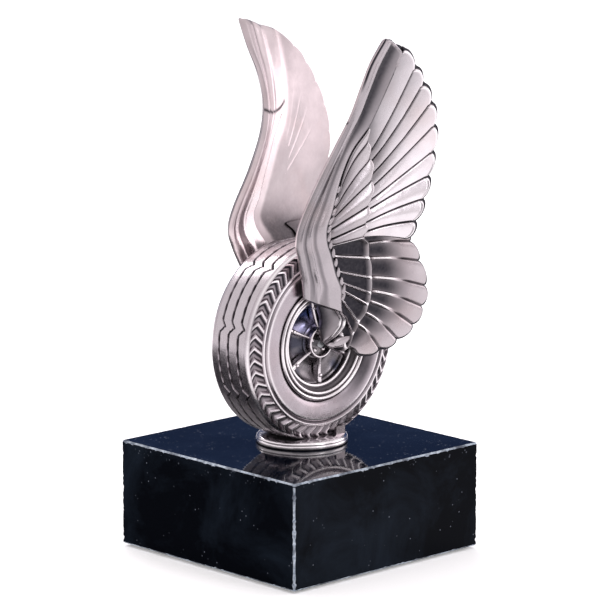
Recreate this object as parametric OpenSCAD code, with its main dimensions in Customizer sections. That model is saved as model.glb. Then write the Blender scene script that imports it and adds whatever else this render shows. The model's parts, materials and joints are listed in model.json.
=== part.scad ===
// Winged-wheel hood ornament on a polished stone block.
// Millimetres, +Z up, -Y is the direction of travel, X is the wheel's axle.
// The origin is the centre of the felt's underside, where the ornament rests.

/* [Stone base] */
// Width and depth of the square block
base_w = 90; // [80:1:110]
// Height of the block
base_h = 38; // [30:1:45]
// Chamfer on the block's edges
base_chamfer = 0.8; // [0.4:0.1:1.5]
// Thickness of the felt under the block
felt_t = 1; // [0.8:0.1:2]
// Margin of the felt inside the block's underside
felt_margin = 3; // [1:0.5:8]
// Distance of the ornament behind the middle of the block
ornament_y = 1.2; // [-3:0.1:3]

/* [Mounting] */
// Diameter of the threaded mounting stud
stud_d = 6; // [5:0.5:6]
// Clearance added to the diameter of plain holes
hole_clearance = 0.6; // [0.4:0.1:0.8]
// Diameter of the recess for the nut under the block
recess_d = 20; // [18:1:24]
// Depth of the recess for the nut
recess_depth = 12; // [10:1:15]
// Diameter of the locating pin between disc and block
pin_d = 3; // [2:0.5:4]

/* [Plinth disc] */
// Radius of the polished disc
disc_r = 16.5; // [15:0.5:20]
// Height of the disc
disc_h = 3.2; // [3:0.1:4]
// Height of the tyre's lowest point above the stone
tyre_seat = 1.8; // [1.6:0.1:2.4]

/* [Tyre] */
// Radius over the tread
tyre_r = 35.6; // [34.8:0.1:36.4]
// Number of circumferential grooves in the tread
tread_grooves = 3; // [2:1:4]
// Width and depth of a tread groove
groove_w = 0.8; // [0.5:0.1:1.2]
// Number of lugs on each shoulder
lug_count = 48; // [40:1:54]
// Height of a shoulder lug
lug_h = 0.7; // [0.3:0.1:0.8]

/* [Wheel] */
// Number of spokes in each face
spoke_count = 6; // [5:1:6]
// Number of wheel bolts in each hub
bolt_count = 5; // [4:1:6]
// Diameter of the axle rod
axle_d = 2; // [1.6:0.1:2.2]

/* [Wings] */
// Long feathers in the upper bank of a wing
upper_feathers = 9; // [7:1:11]
// Feathers in the lower bank of a wing
lower_feathers = 8; // [6:1:10]
// Small covert feathers along the arm of a wing
covert_feathers = 14; // [10:1:16]
// Thickness of the feather sheets
feather_t = 1.3; // [1:0.1:1.6]
// Depth of the relief across one feather
feather_relief = 0.7; // [0.3:0.1:1]
// Length of the rounded tip of a long feather
feather_tip = 4; // [2:0.5:5]

/* [Hidden] */

$fn = 96;

nickel = "#b9b0b2";
bright_nickel = "#d8d2d0";
steel = "#8f9499";
black_stone = "#15171c";
green_felt = "#1f3d2c";

// Heights
stone_top = felt_t + base_h;
recess_top = felt_t + recess_depth;
axle_z = stone_top + tyre_seat + tyre_r;

// Stud through the block, held by a nut in the recess
stud_length = 46;
washer_t = 1.6;
lock_washer_t = 1.5;
nut_across_flats = 10;
nut_t = 5;
stud_bottom = recess_top - washer_t - lock_washer_t - nut_t - 1.5;
pin_y = -11;
pin_in_disc = 2;
pin_in_stone = 6;

// Collar that joins the back of the disc to the tyre, up to its height above the stone
saddle_h = 6;
saddle_front = 6;
saddle_half = 11.6;
saddle_waist = 0.7;

// Wheel: distances along the axle are measured from the middle of the tyre
tread_half = 7.6;
crown_drop = 0.4;
groove_pitch = 4.8;
groove_jogs = 9;
jog_start = 16;
jog_depth = 1.7;
jog_slants = [56, -60];
shoulder_r = tyre_r - 1.1;
shoulder_half = 9.8;
lug_end_r = 29.9;
lug_end_half = 11.5;
sidewall_half = 12;
bead_r = 20.9;
bead_half = 10;
lug_sweep = 4;
lug_share = 0.56;

rim_gap = 0.1;
rim_r = 15.9;
rim_seat_r = 19;
rim_top = 11.9;
flange_r = 20;
flange_x = 11.2;
flange_bead = 0.7;
second_ring_r = 18.1;
lip_r = 15;
lip_back = 7.4;
lip_front = 9;
lip_bead = 0.5;
dish_t = 1.2;

hub_r = 5.6;
hub_wall = 0.8;
hub_top = 10.3;
hub_floor = 8.4;
hub_back = 7.4;
spoke_start = 36;
spoke_root_w = 1.3;
spoke_end_w = 2.8;
spoke_end_r = 14.6;
spoke_root_top = 9.2;
spoke_end_top = 7.9;
barrel_r = 5;
barrel_core_r = 3.2;
barrel_half = 3.6;
barrel_flange = 2;
rivet_circle = 12.4;
rivet_d = 1;
rivet_head_r = 0.85;
bolt_circle = 3.5;
bolt_d = 0.9;
bolt_head_r = 0.85;
axle_half = 10.1;
axle_nut_flats = 3.6;
axle_nut_t = 1.5;

// Wing stud: a flange soldered to the wing and a threaded shank inside the wheel
wing_stud_circle = 8.5;
wing_stud_angle = 66;
wing_stud_d = 3;
wing_seat_r = 3;
wing_seat_front = 7;
wing_seat_back = 4;
wing_face = 10.9;
wing_face_out = 12.3;
wing_stud_end = 0.6;
wing_nut_flats = 5.5;
wing_nut_t = 2.4;
wing_washer_t = 0.6;

// Edges of the left wing as [x, y, z] from the middle of the axle
leading_edge = [[14.6, -12.8, 18.1], [15.6, -14.3, 24], [17, -17.3, 32], [17.4, -19, 39],
                [17.3, -16.3, 47], [17.6, -8.2, 60], [19.4, -1.2, 72], [22.5, 2.6, 82],
                [26.5, 3.5, 92], [31.5, 3, 101], [37.2, 4, 110]];
lobe_edge = [[12.3, -1.2, 0.4], [12.4, -2.2, 5], [12.8, -2, 9], [13.2, -4, 14.2]];
arm_edge = [[12.3, -0.8, 0.4], [12.8, 4.1, 2], [13.6, 7.3, 4.8], [14.4, 7.5, 8], [15, 5.2, 11],
            [15.5, 4.2, 15.5], [16, 4, 20], [16.8, 0.7, 26], [17.7, -2.2, 32.5], [19, -5.6, 38.3],
            [19.5, -6.2, 43.5], [19.4, -3.9, 48.5], [19.3, -1.9, 55], [19.5, 1, 62.5],
            [20.6, 4.6, 69.7], [22.6, 9.7, 76.4], [24.4, 12, 82], [27, 13.8, 89], [30, 14.9, 96],
            [33.5, 15.6, 103.4]];
covert_edge = [[13.2, 1.8, -2], [14.6, 6.8, -2.6], [15.2, 9.7, 2.4], [15.9, 12, 6.4],
               [16.6, 14.6, 10], [17.3, 15.8, 14], [17.8, 16.3, 18], [18.1, 16.2, 23],
               [18.6, 14.8, 29.3], [19.3, 12.6, 34.8], [20.8, 9.6, 38.2], [22.3, 8.9, 43.2],
               [22.6, 10.1, 49.5], [22.4, 11.6, 55.2], [21.9, 12.2, 60], [21.6, 12, 64.5],
               [21.8, 10.8, 69], [22.6, 9.7, 76.4]];
upper_notches = [[33.5, 15.6, 103.4], [31, 23.7, 96.3], [30, 28.4, 90], [29.8, 32.5, 83.1],
                 [28.8, 35.3, 74.9], [27.4, 36, 65.5], [26.6, 34.6, 57], [26.8, 31.6, 49.2],
                 [26.4, 28, 41.9], [25, 25, 36]];
lower_notches = [[20.5, 29.5, 38.5], [20.6, 33, 33.4], [21, 37, 26], [20.8, 40.3, 16.6],
                 [20, 39.6, 9.2], [19.2, 36, 3], [18.3, 29, -1.2], [17.2, 21.5, -3.8],
                 [15.8, 12, -5]];

// Where the feather lines start and end, counted in points of the edge curves
covert_roots = [12, 11.6, 11.15, 10.5, 9.75, 9.1, 8.7, 8, 7.1, 6.4, 5.8, 5, 3.7, 1.5, 0];
covert_tips = [17, 16.4, 15.3, 13.6, 12, 11, 10, 8.1, 6.9, 5.7, 4.6, 3, 2, 1, 0];
upper_roots = [17, 15.7, 14.9, 13.9, 13, 12.2, 11.7, 11, 10.35, 9.9];
lower_roots = [9.9, 9, 8, 6.9, 5.9, 5, 4, 2.9, 1.2];
arm_start = 4;
covert_top = 12;
bank_top = 15;

// ---------- functions ----------

function mix(a, b, t) = a + (b - a) * t;
function clamp(t) = min(1, max(0, t));
function ease(t) = let (c = clamp(t)) c * c * (3 - 2 * c);

// Share of a curve at which it passes its point number i
function knot(p, i) = i / (len(p) - 1);

// Point or value at share t of a smooth curve through the list p
function curve(p, t) =
    let (n = len(p) - 1, s = clamp(t) * n, i = min(floor(s), n - 1), w = s - i,
         a = p[max(i - 1, 0)], b = p[i], c = p[i + 1], d = p[min(i + 2, n)])
    (2 * b + (c - a) * w + (2 * a - 5 * b + 4 * c - d) * w * w
     + (3 * b - a - 3 * c + d) * w * w * w) / 2;

// Profile that rises like a quarter circle from 0 to 1 within the given width
function quarter(t, width) = sqrt(1 - pow(1 - clamp(t / width), 2));

// Half circle over the width of one feather, and the section of its vane
function arch(w) = sqrt(max(0, 1 - pow(2 * w - 1, 2)));
function vane(w) = pow(max(0, sin(180 * w)), 0.6);

function shifted(p, dx) = [p[0] + dx, p[1], p[2]];

// Wing surface: feather columns, then rows along each feather
vane_steps = [0, 0.1, 0.35, 0.65, 0.9];
function columns(count) = concat([for (i = [0:count - 1], w = vane_steps) i + w], [count]);
function rows(count) = [for (i = [0:count]) i / count];

// Share w across the arm from its leading border, at share t of the arm's rear edge
arm_root = knot(arm_edge, arm_start);
function arm_border(t) = t < arm_root
    ? curve(lobe_edge, t / arm_root)
    : curve(leading_edge, lookup(t, [[arm_root, 0], [knot(arm_edge, 6), 0.1],
        [knot(arm_edge, 8), 0.2], [knot(arm_edge, 9), 0.28], [knot(arm_edge, 10), 0.36],
        [knot(arm_edge, 12), 0.5], [knot(arm_edge, 14), 0.62], [knot(arm_edge, 15), 0.7],
        [knot(arm_edge, 17), 0.84], [1, 1]]));

// The tip of the arm bows out past the straight line between its two edges
tip_bow = [0, 0.8, 1.5];
function arm_point(t, w) =
    mix(arm_border(t), curve(arm_edge, t), w) + tip_bow * arch(w) * ease((t - 0.8) / 0.2);

function arm_edge_round(t, w) = quarter(w, 0.3) * quarter(1.02 - t, 0.06);
function arm_outer(t, w) =
    let (rise = t < arm_root ? 0.6 : mix(2.4, 1.1, ease((t - 0.6) / 0.25)))
    shifted(arm_point(t, w), 0.2 + rise * arm_edge_round(t, w) * (1 - 0.45 * w * w));
function arm_inner(t, w) =
    let (depth = mix(2, 1.1, ease((t - 0.65) / 0.25)), p = arm_point(t, w))
    t < arm_root ? [wing_face, p[1], p[2]] : shifted(p, -0.2 - depth * arm_edge_round(t, w));

// Rounded tip of a long feather, added past the notch line
function tip_of(p, q, f, g, length) =
    (q - p) / norm(q - p) * length * arch(f - floor(f)) * pow(g, 4);

// Feather coordinate f of the upper bank, at share g from its root to its notch
bank_share = knot(arm_edge, bank_top);
function upper_point(f, g) =
    let (k = f / upper_feathers,
         a = curve(covert_edge, knot(covert_edge, curve(upper_roots, k))),
         b = curve(upper_notches, k),
         near_arm = 1 - ease(4 * k),
         along_arm = curve(arm_edge, mix(bank_share, 1, g))
             - mix(curve(arm_edge, bank_share), curve(arm_edge, 1), g),
         sag = mix(-1.6, 1, clamp(1.3 * k - 0.1)) * 4 * g * (1 - g) * (1 - near_arm))
    mix(a, b, g) + along_arm * near_arm + [0, -0.6, 0.8] * sag
    + tip_of(a, b, f, g, feather_tip);

// Feather coordinate f of the lower bank, at share g from its root to its notch
function lower_point(f, g) =
    let (k = f / lower_feathers,
         a = curve(covert_edge, knot(covert_edge, curve(lower_roots, k))),
         b = curve(lower_notches, k),
         sag = mix(0.4, 1.4, k) * 4 * g * (1 - g))
    shifted(mix(a, b, g), -0.9) + [0, 0.3, 0.9] * sag + tip_of(a, b, f, g, feather_tip - 1);

// Feather coordinate f of the coverts, at share g from the arm to their tips
covert_share = knot(arm_edge, covert_top);
function covert_point(f, g) =
    let (k = f / covert_feathers,
         a = curve(arm_edge, knot(arm_edge, curve(covert_roots, k))),
         b = curve(covert_edge, knot(covert_edge, curve(covert_tips, k))),
         along_arm = curve(arm_edge, mix(covert_share, bank_share, g))
             - mix(curve(arm_edge, covert_share), curve(arm_edge, bank_share), g))
    mix(a, b, g) + along_arm * (1 - ease(4 * k));

// Closed solid between an outer and an inner grid of points of the same size
module grid_solid(outer, inner) {
    last_row = len(outer) - 1;
    last_col = len(outer[0]) - 1;
    step = last_col + 1;
    n = len(outer) * step;
    points = concat([for (r = outer) each r], [for (r = inner) each r]);
    skins = [for (i = [0:last_row - 1], j = [0:last_col - 1])
        let (a = i * step + j, b = a + 1, c = a + step, d = c + 1)
        each [[a, b, d], [a, d, c], [n + a, n + d, n + b], [n + a, n + c, n + d]]];
    long_sides = [for (i = [0:last_row - 1])
        let (a = i * step, c = a + step, b = a + last_col, d = b + step)
        each [[a, c, n + c], [a, n + c, n + a], [b, n + d, d], [b, n + b, n + d]]];
    short_sides = [for (j = [0:last_col - 1])
        let (a = j, b = j + 1, c = last_row * step + j, d = c + 1)
        each [[a, n + b, b], [a, n + a, n + b], [c, d, n + d], [c, n + d, n + c]]];
    polyhedron(points = points, faces = concat(skins, long_sides, short_sides), convexity = 8);
}

// ---------- placing ----------

module at_axle() translate([0, ornament_y, axle_z]) children();

module mirrored(side) {
    if (side == "right") mirror([1, 0, 0]) children();
    else children();
}

// Children drawn with Z along the axle, pointing out of the wheel's given side
module wheel_side(side) mirrored(side) at_axle() rotate([0, 90, 0]) children();

// Copies on a circle about the axle; angles run from the back of the wheel toward its top
module around(radius, angle) rotate(angle + 90) translate([radius, 0, 0]) children();
module ring_of(count, radius, start = 90)
    for (i = [0:count - 1]) around(radius, start + i * 360 / count) children();

// ---------- stone and its fastening ----------

// Rectangle about the origin with its four corners cut off
module chamfered_rect(width, height, chamfer) {
    a = width / 2;
    b = height / 2;
    c = chamfer;
    polygon([[a, c - b], [a, b - c], [a - c, b], [c - a, b],
             [-a, b - c], [-a, c - b], [c - a, -b], [a - c, -b]]);
}

// Prism along Z of a rectangle with its corners cut off
module chamfered_prism(width, depth, height, chamfer)
    linear_extrude(height, center = true) chamfered_rect(width, depth, chamfer);

// Block with all twelve edges chamfered: the solid that its three outlines share
module chamfered_block() translate([0, 0, felt_t + base_h / 2]) intersection() {
    chamfered_prism(base_w, base_w, base_h, base_chamfer);
    rotate([90, 0, 0]) chamfered_prism(base_w, base_h, base_w, base_chamfer);
    rotate([90, 0, 90]) chamfered_prism(base_w, base_h, base_w, base_chamfer);
}

module stone_base() color(black_stone) difference() {
    chamfered_block();
    translate([0, ornament_y, 0]) {
        cylinder(d = stud_d + hole_clearance, h = stone_top + 1);
        cylinder(d = recess_d, h = recess_top);
        translate([0, pin_y, stone_top - pin_in_stone]) cylinder(d = pin_d, h = pin_in_stone + 1);
    }
}

module felt_pad() color(green_felt)
    linear_extrude(felt_t) square(base_w - 2 * felt_margin, center = true);

module mounting_stud() color(steel)
    translate([0, ornament_y, stud_bottom]) cylinder(d = stud_d, h = stud_length);

module hex_nut(across_flats, thickness, bore) difference() {
    cylinder(d = across_flats / cos(30), h = thickness, $fn = 6);
    translate([0, 0, -1]) cylinder(d = bore, h = thickness + 2);
}

module ring(outer_d, inner_d, thickness) difference() {
    cylinder(d = outer_d, h = thickness);
    translate([0, 0, -1]) cylinder(d = inner_d, h = thickness + 2);
}

module fixing_nut() color(steel)
    translate([0, ornament_y, recess_top - washer_t - lock_washer_t - nut_t])
        hex_nut(nut_across_flats, nut_t, stud_d);

// Split spring washer, drawn flattened as it is when the nut is tight
module split_washer(outer_d, inner_d, thickness, split) difference() {
    ring(outer_d, inner_d, thickness);
    translate([outer_d / 2, 0, thickness / 2]) rotate([25, 0, 0])
        cube([outer_d, split, 4 * thickness], center = true);
}

module lock_washer() color(steel)
    translate([0, ornament_y, recess_top - washer_t - lock_washer_t])
        split_washer(stud_d * 1.95, stud_d + 0.2, lock_washer_t, 0.8);

module flat_washer() color(steel)
    translate([0, ornament_y, recess_top - washer_t]) ring(recess_d - 2, stud_d + 0.4, washer_t);

module locating_pin() color(steel)
    translate([0, ornament_y + pin_y, stone_top - pin_in_stone])
        cylinder(d = pin_d, h = pin_in_stone + pin_in_disc);

// ---------- disc, saddle and tyre ----------

// Half section of a round bar edge: a rectangle whose outer corners are rounded
module rounded_disc(radius, height, corner) rotate_extrude() {
    square([radius - corner, height]);
    translate([0, corner]) square([radius, height - 2 * corner]);
    for (z = [corner, height - corner]) translate([radius - corner, z]) circle(corner, $fn = 48);
}

module plinth_disc() color(bright_nickel) difference() {
    translate([0, ornament_y, stone_top]) rounded_disc(disc_r, disc_h, 0.8);
    tyre_envelope();
    translate([0, ornament_y, 0]) {
        cylinder(d = stud_d + hole_clearance, h = axle_z);
        translate([0, pin_y, stone_top - 1]) cylinder(d = pin_d, h = pin_in_disc + 1);
    }
}

// Half section of the collar: a block whose outer side is hollowed by a large circle
module saddle_section(radius, height) difference() {
    square([radius, height]);
    translate([radius + 2 * height - saddle_waist, height / 2]) circle(2 * height, $fn = 120);
}

// Collar that fills the corner between the back of the disc and the tyre
module wheel_saddle() color(nickel) difference() {
    translate([0, ornament_y, stone_top + disc_h])
        rotate_extrude() saddle_section(disc_r - 0.4, saddle_h - disc_h);
    tyre_envelope();
    translate([-disc_r, ornament_y + saddle_front - 2 * disc_r, stone_top])
        cube([2 * disc_r, 2 * disc_r, 2 * saddle_h]);
    for (side = [-1, 1]) translate([side * (saddle_half + disc_r), ornament_y, stone_top])
        cube([2 * disc_r, 3 * disc_r, 4 * saddle_h], center = true);
}

// Radius of the tread's crown at a distance from the middle of the tyre
function crown(x) = tyre_r - crown_drop * pow(x / tread_half, 2);

// Shoulder of the tyre to the given depth below the tops of the lugs, from tread to sidewall
function shoulder(depth) = [[shoulder_r - depth, shoulder_half - depth],
                            [lug_end_r, lug_end_half - depth]];

// Half outline [radius, distance] of the tyre from the middle of the tread to the bead
function tyre_half(depth) = concat(
    [for (x = [0:tread_half / 4:tread_half]) [crown(x), x]],
    [[shoulder_r + 0.4, shoulder_half - 0.9], [shoulder_r + 0.1, shoulder_half - 0.2]],
    shoulder(depth),
    [[29.6, 11.8], [28.8, 11.85], [28.5, 11.4], [28.1, 11.4], [27.8, 11.85]],
    [for (r = [26.5:-1.5:22]) [r, sidewall_half - 0.02 * pow(r - 25, 2)]],
    [[21.3, 11.4], [bead_r, 10.8], [bead_r, bead_half]]);

function flipped(p) = [for (i = [len(p) - 1:-1:1]) [p[i][0], -p[i][1]]];

module tyre_solid(depth, bore) rotate_extrude($fn = 180)
    polygon(concat([[bore, -bead_half]], flipped(tyre_half(depth)), tyre_half(depth),
                   [[bore, bead_half]]));

// Space taken by the tyre, used to cut the parts that it rests in
module tyre_envelope() wheel_side("left") tyre_solid(0, 0);

// Chevron lugs of one shoulder, cut from a ring that stands on the shoulder
module shoulder_lugs() intersection() {
    rotate_extrude($fn = 180) polygon(concat(shoulder(0),
        [[lug_end_r, lug_end_half - 2 * lug_h], [shoulder_r - 2 * lug_h, shoulder_half - 2 * lug_h]]));
    for (i = [0:lug_count - 1]) rotate(i * 360 / lug_count) lug_chevron();
}

function at(radius, angle) = radius * [cos(angle), sin(angle)];

module lug_chevron() {
    half = 180 / lug_count * lug_share;
    inner = lug_end_r - 1;
    outer = shoulder_r + 1;
    middle = (inner + outer) / 2;
    linear_extrude(2 * lug_end_half) polygon([
        at(inner, lug_sweep + half), at(middle, half), at(outer, lug_sweep + half),
        at(outer, lug_sweep - half), at(middle, -half), at(inner, lug_sweep - half)]);
}

// Grooves around the tread, each with a sideways jog in every section of the tread
module tread_cuts() for (i = [0:tread_grooves - 1]) {
    across = (i - (tread_grooves - 1) / 2) * groove_pitch;
    rotate_extrude($fn = 180) translate([crown(0) - groove_w, across - groove_w / 2])
        square([2 * groove_w, groove_w]);
    for (j = [0:groove_jogs - 1], slant = jog_slants) rotate(jog_start + j * 360 / groove_jogs)
        translate([crown(0) - groove_w, 0, across + jog_depth]) rotate([180 + slant, 0, 0])
            translate([0, -groove_w / 2, 0]) cube([2 * groove_w, groove_w, jog_depth / cos(slant)]);
}

module tyre() color(nickel) difference() {
    wheel_side("left") difference() {
        union() {
            tyre_solid(lug_h, rim_seat_r);
            shoulder_lugs();
            mirror([0, 0, 1]) shoulder_lugs();
        }
        tread_cuts();
    }
    translate([0, ornament_y, stone_top]) cylinder(d = stud_d, h = stud_bottom + stud_length - stone_top);
}

// ---------- wheel ----------

// Rounded ridge of the rim's section about a centre, between two angles
function ridge(centre, radius, from, to) =
    [for (i = [0:8]) centre + radius * [cos(mix(from, to, i / 8)), sin(mix(from, to, i / 8))]];

// Section of one pressed rim half: seat, flange, second ring and inner lip
module rim() rotate_extrude() polygon(concat(
    [[rim_r, rim_gap], [rim_seat_r, rim_gap], [rim_seat_r, bead_half], [flange_r + flange_bead, bead_half]],
    ridge([flange_r, flange_x], flange_bead, 0, 210),
    ridge([second_ring_r, flange_x - 0.2], flange_bead - 0.1, -10, 200),
    ridge([lip_r + lip_bead, lip_front], lip_bead, 60, 180),
    [[lip_r, lip_back], [rim_r, lip_back]]));

// Front face of the dished disc as [radius, distance], from its edge to the hub
dish_front = [[15.8, 7.4], [14.8, 7.3], [13.6, 6.2], [12, 5.5], [10.5, 5.2], [9, 5.3], [7.6, 5.8],
              [6.6, 6.6], [5.6, 7.4]];
dish_back = [for (i = [len(dish_front) - 3:-1:0]) dish_front[i] - [0, dish_t]];

module wheel_dish() difference() {
    union() {
        rotate_extrude() polygon(concat(dish_front,
            [[axle_d / 2 + 0.05, hub_back], [axle_d / 2 + 0.05, barrel_half],
             [barrel_r, barrel_half], [barrel_r, wing_seat_back + 0.4]],
            dish_back));
        around(wing_stud_circle, wing_stud_angle) translate([0, 0, wing_seat_back])
            cylinder(r = wing_seat_r, h = wing_seat_front - wing_seat_back);
    }
    around(wing_stud_circle, wing_stud_angle) cylinder(d = wing_stud_d + 0.2, h = rim_top);
    ring_of(spoke_count, rivet_circle, spoke_start) cylinder(d = rivet_d, h = rim_top);
    ring_of(bolt_count, bolt_circle) cylinder(d = bolt_d + 0.1, h = rim_top);
}

// Height of a spoke's top face at a radius
function spoke_top(r) = mix(spoke_root_top, spoke_end_top, (r - hub_r) / (spoke_end_r - hub_r));

// Tapered spoke seen along the axle
module spoke_plan() polygon([[hub_r - 0.5, -spoke_root_w / 2], [spoke_end_r, -spoke_end_w / 2],
                             [spoke_end_r, spoke_end_w / 2], [hub_r - 0.5, spoke_root_w / 2]]);

module spoke_spider() difference() {
    union() {
        rotate_extrude() difference() {
            translate([0, hub_back]) square([hub_r, hub_top - hub_back]);
            translate([0, hub_floor]) square([hub_r - hub_wall, hub_top]);
        }
        intersection() {
            rotate_extrude() polygon(concat([for (p = dish_front) if (p[0] < spoke_end_r + 1) p],
                [[hub_r - 0.4, hub_back], [hub_r - 0.4, spoke_top(hub_r)],
                 [spoke_end_r + 0.2, spoke_top(spoke_end_r)]]));
            for (i = [0:spoke_count - 1]) rotate(spoke_start + 90 + i * 360 / spoke_count)
                linear_extrude(hub_top) spoke_plan();
        }
    }
    cylinder(d = axle_d + 0.1, h = rim_top);
    ring_of(spoke_count, rivet_circle, spoke_start) cylinder(d = rivet_d, h = rim_top);
    ring_of(bolt_count, bolt_circle) cylinder(d = bolt_d + 0.1, h = rim_top);
}

// Domed head standing on z = 0
module dome(radius, height) {
    ball = (radius * radius + height * height) / (2 * height);
    intersection() {
        translate([0, 0, height - ball]) sphere(ball, $fn = 32);
        cylinder(r = radius, h = 2 * height, $fn = 32);
    }
}

module spoke_rivets() ring_of(spoke_count, rivet_circle, spoke_start) {
    translate([0, 0, wing_seat_back + 0.5])
        cylinder(d = rivet_d, h = spoke_top(rivet_circle) - wing_seat_back - 0.3);
    translate([0, 0, spoke_top(rivet_circle)]) dome(rivet_head_r, 0.6);
}

module wheel_bolts() ring_of(bolt_count, bolt_circle) {
    translate([0, 0, barrel_half - barrel_flange + 0.3])
        cylinder(d = bolt_d, h = hub_floor - barrel_half + barrel_flange);
    translate([0, 0, hub_floor]) dome(bolt_head_r, 0.8);
}

module hub_barrel() color(steel) wheel_side("left") difference() {
    union() {
        cylinder(r = barrel_core_r, h = 2 * barrel_half, center = true);
        for (side = [0, 1]) mirror([0, 0, side]) translate([0, 0, barrel_half - barrel_flange])
            cylinder(r = barrel_r, h = barrel_flange);
    }
    cylinder(d = axle_d + 0.1, h = rim_top, center = true);
    for (side = [0, 1]) mirror([0, 0, side]) ring_of(bolt_count, bolt_circle)
        translate([0, 0, barrel_half - barrel_flange]) cylinder(d = bolt_d, h = rim_top);
}

module axle_rod() color(steel) wheel_side("left")
    cylinder(d = axle_d, h = 2 * axle_half, center = true);

module axle_nut() translate([0, 0, hub_floor]) hex_nut(axle_nut_flats, axle_nut_t, axle_d);

// ---------- wings ----------

// Flange soldered under the wing's root, with a threaded shank that enters the wheel
module wing_stud() around(wing_stud_circle, wing_stud_angle) {
    translate([0, 0, wing_seat_front]) cylinder(r = wing_seat_r, h = wing_face - wing_seat_front);
    translate([0, 0, wing_stud_end]) cylinder(d = wing_stud_d, h = wing_seat_front - wing_stud_end);
}

module wing_washer() around(wing_stud_circle, wing_stud_angle)
    translate([0, 0, wing_seat_back - wing_washer_t])
        split_washer(2 * wing_seat_r, wing_stud_d + 0.2, wing_washer_t, 0.6);

module wing_nut() around(wing_stud_circle, wing_stud_angle)
    translate([0, 0, wing_seat_back - wing_washer_t - wing_nut_t])
        hex_nut(wing_nut_flats, wing_nut_t, wing_stud_d);

// Rows of the arm: closer together on the rounded tip
arm_rows = concat([for (i = [0:44]) i / 46], [0.97, 0.985, 0.995, 1]);
arm_columns = [0, 0.03, 0.1, 0.2, 0.32, 0.45, 0.6, 0.75, 0.9, 1];

module wing_arm() at_axle() grid_solid(
    [for (t = arm_rows) [for (w = arm_columns) arm_outer(t, w)]],
    [for (t = arm_rows) [for (w = arm_columns) arm_inner(t, w)]]);

// Point behind p on the inner face of a sheet, kept clear of the hub, the rim and the tyre
function behind(p, thickness) =
    let (clear = mix(wing_face, wing_face_out, ease((norm([p[1], p[2]]) - lip_r + 2) / 2)))
    [max(p[0] - thickness, clear), p[1], p[2]];

// Feathered sheet whose outer face swells over each feather
module feather_sheet(point_of, count, row_count, thickness) {
    outer = [for (g = rows(row_count)) [for (f = columns(count))
        shifted(point_of(f, g), feather_relief * vane(f - floor(f)) * ease(4 * g + 0.3))]];
    inner = [for (g = rows(row_count)) [for (f = columns(count)) behind(point_of(f, g), thickness)]];
    at_axle() grid_solid(outer, inner);
}

module upper_bank() feather_sheet(function (f, g) upper_point(f, g), upper_feathers, 12, feather_t);
module lower_bank() feather_sheet(function (f, g) lower_point(f, g), lower_feathers, 10, feather_t);
module covert_rows() feather_sheet(function (f, g) covert_point(f, g), covert_feathers, 6, 2 * feather_t);

// ---------- the two sides ----------

module left_rim() color(nickel) wheel_side("left") rim();
module right_rim() color(nickel) wheel_side("right") rim();
module left_wheel_dish() color(bright_nickel) wheel_side("left") wheel_dish();
module right_wheel_dish() color(bright_nickel) wheel_side("right") wheel_dish();
module left_spoke_spider() color(nickel) wheel_side("left") spoke_spider();
module right_spoke_spider() color(nickel) wheel_side("right") spoke_spider();
module left_spoke_rivets() color(bright_nickel) wheel_side("left") spoke_rivets();
module right_spoke_rivets() color(bright_nickel) wheel_side("right") spoke_rivets();
module left_wheel_bolts() color(bright_nickel) wheel_side("left") wheel_bolts();
module right_wheel_bolts() color(bright_nickel) wheel_side("right") wheel_bolts();
module left_axle_nut() color(steel) wheel_side("left") axle_nut();
module right_axle_nut() color(steel) wheel_side("right") axle_nut();
module left_wing_stud() color(steel) wheel_side("left") wing_stud();
module right_wing_stud() color(steel) wheel_side("right") wing_stud();
module left_wing_washer() color(steel) wheel_side("left") wing_washer();
module right_wing_washer() color(steel) wheel_side("right") wing_washer();
module left_wing_nut() color(steel) wheel_side("left") wing_nut();
module right_wing_nut() color(steel) wheel_side("right") wing_nut();
module left_wing_arm() color(bright_nickel) mirrored("left") wing_arm();
module right_wing_arm() color(bright_nickel) mirrored("right") wing_arm();
module left_coverts() color(nickel) mirrored("left") covert_rows();
module right_coverts() color(nickel) mirrored("right") covert_rows();
module left_upper_feathers() color(bright_nickel) mirrored("left") upper_bank();
module right_upper_feathers() color(bright_nickel) mirrored("right") upper_bank();
module left_lower_feathers() color(nickel) mirrored("left") lower_bank();
module right_lower_feathers() color(nickel) mirrored("right") lower_bank();

stone_base();
felt_pad();
mounting_stud();
fixing_nut();
lock_washer();
flat_washer();
locating_pin();
plinth_disc();
wheel_saddle();
tyre();
hub_barrel();
axle_rod();
left_rim();
right_rim();
left_wheel_dish();
right_wheel_dish();
left_spoke_spider();
right_spoke_spider();
left_spoke_rivets();
right_spoke_rivets();
left_wheel_bolts();
right_wheel_bolts();
left_axle_nut();
right_axle_nut();
left_wing_stud();
right_wing_stud();
left_wing_washer();
right_wing_washer();
left_wing_nut();
right_wing_nut();
left_wing_arm();
right_wing_arm();
left_coverts();
right_coverts();
left_upper_feathers();
right_upper_feathers();
left_lower_feathers();
right_lower_feathers();
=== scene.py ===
"""Looks of a winged-wheel hood ornament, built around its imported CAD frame.

Everything is in metres in the row frame. Lengths named *_MM and the outlines of the wings are in
millimetres from the middle of the wheel's axle, with x along the axle, -y forward and z up.
"""

import json
import math

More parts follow.
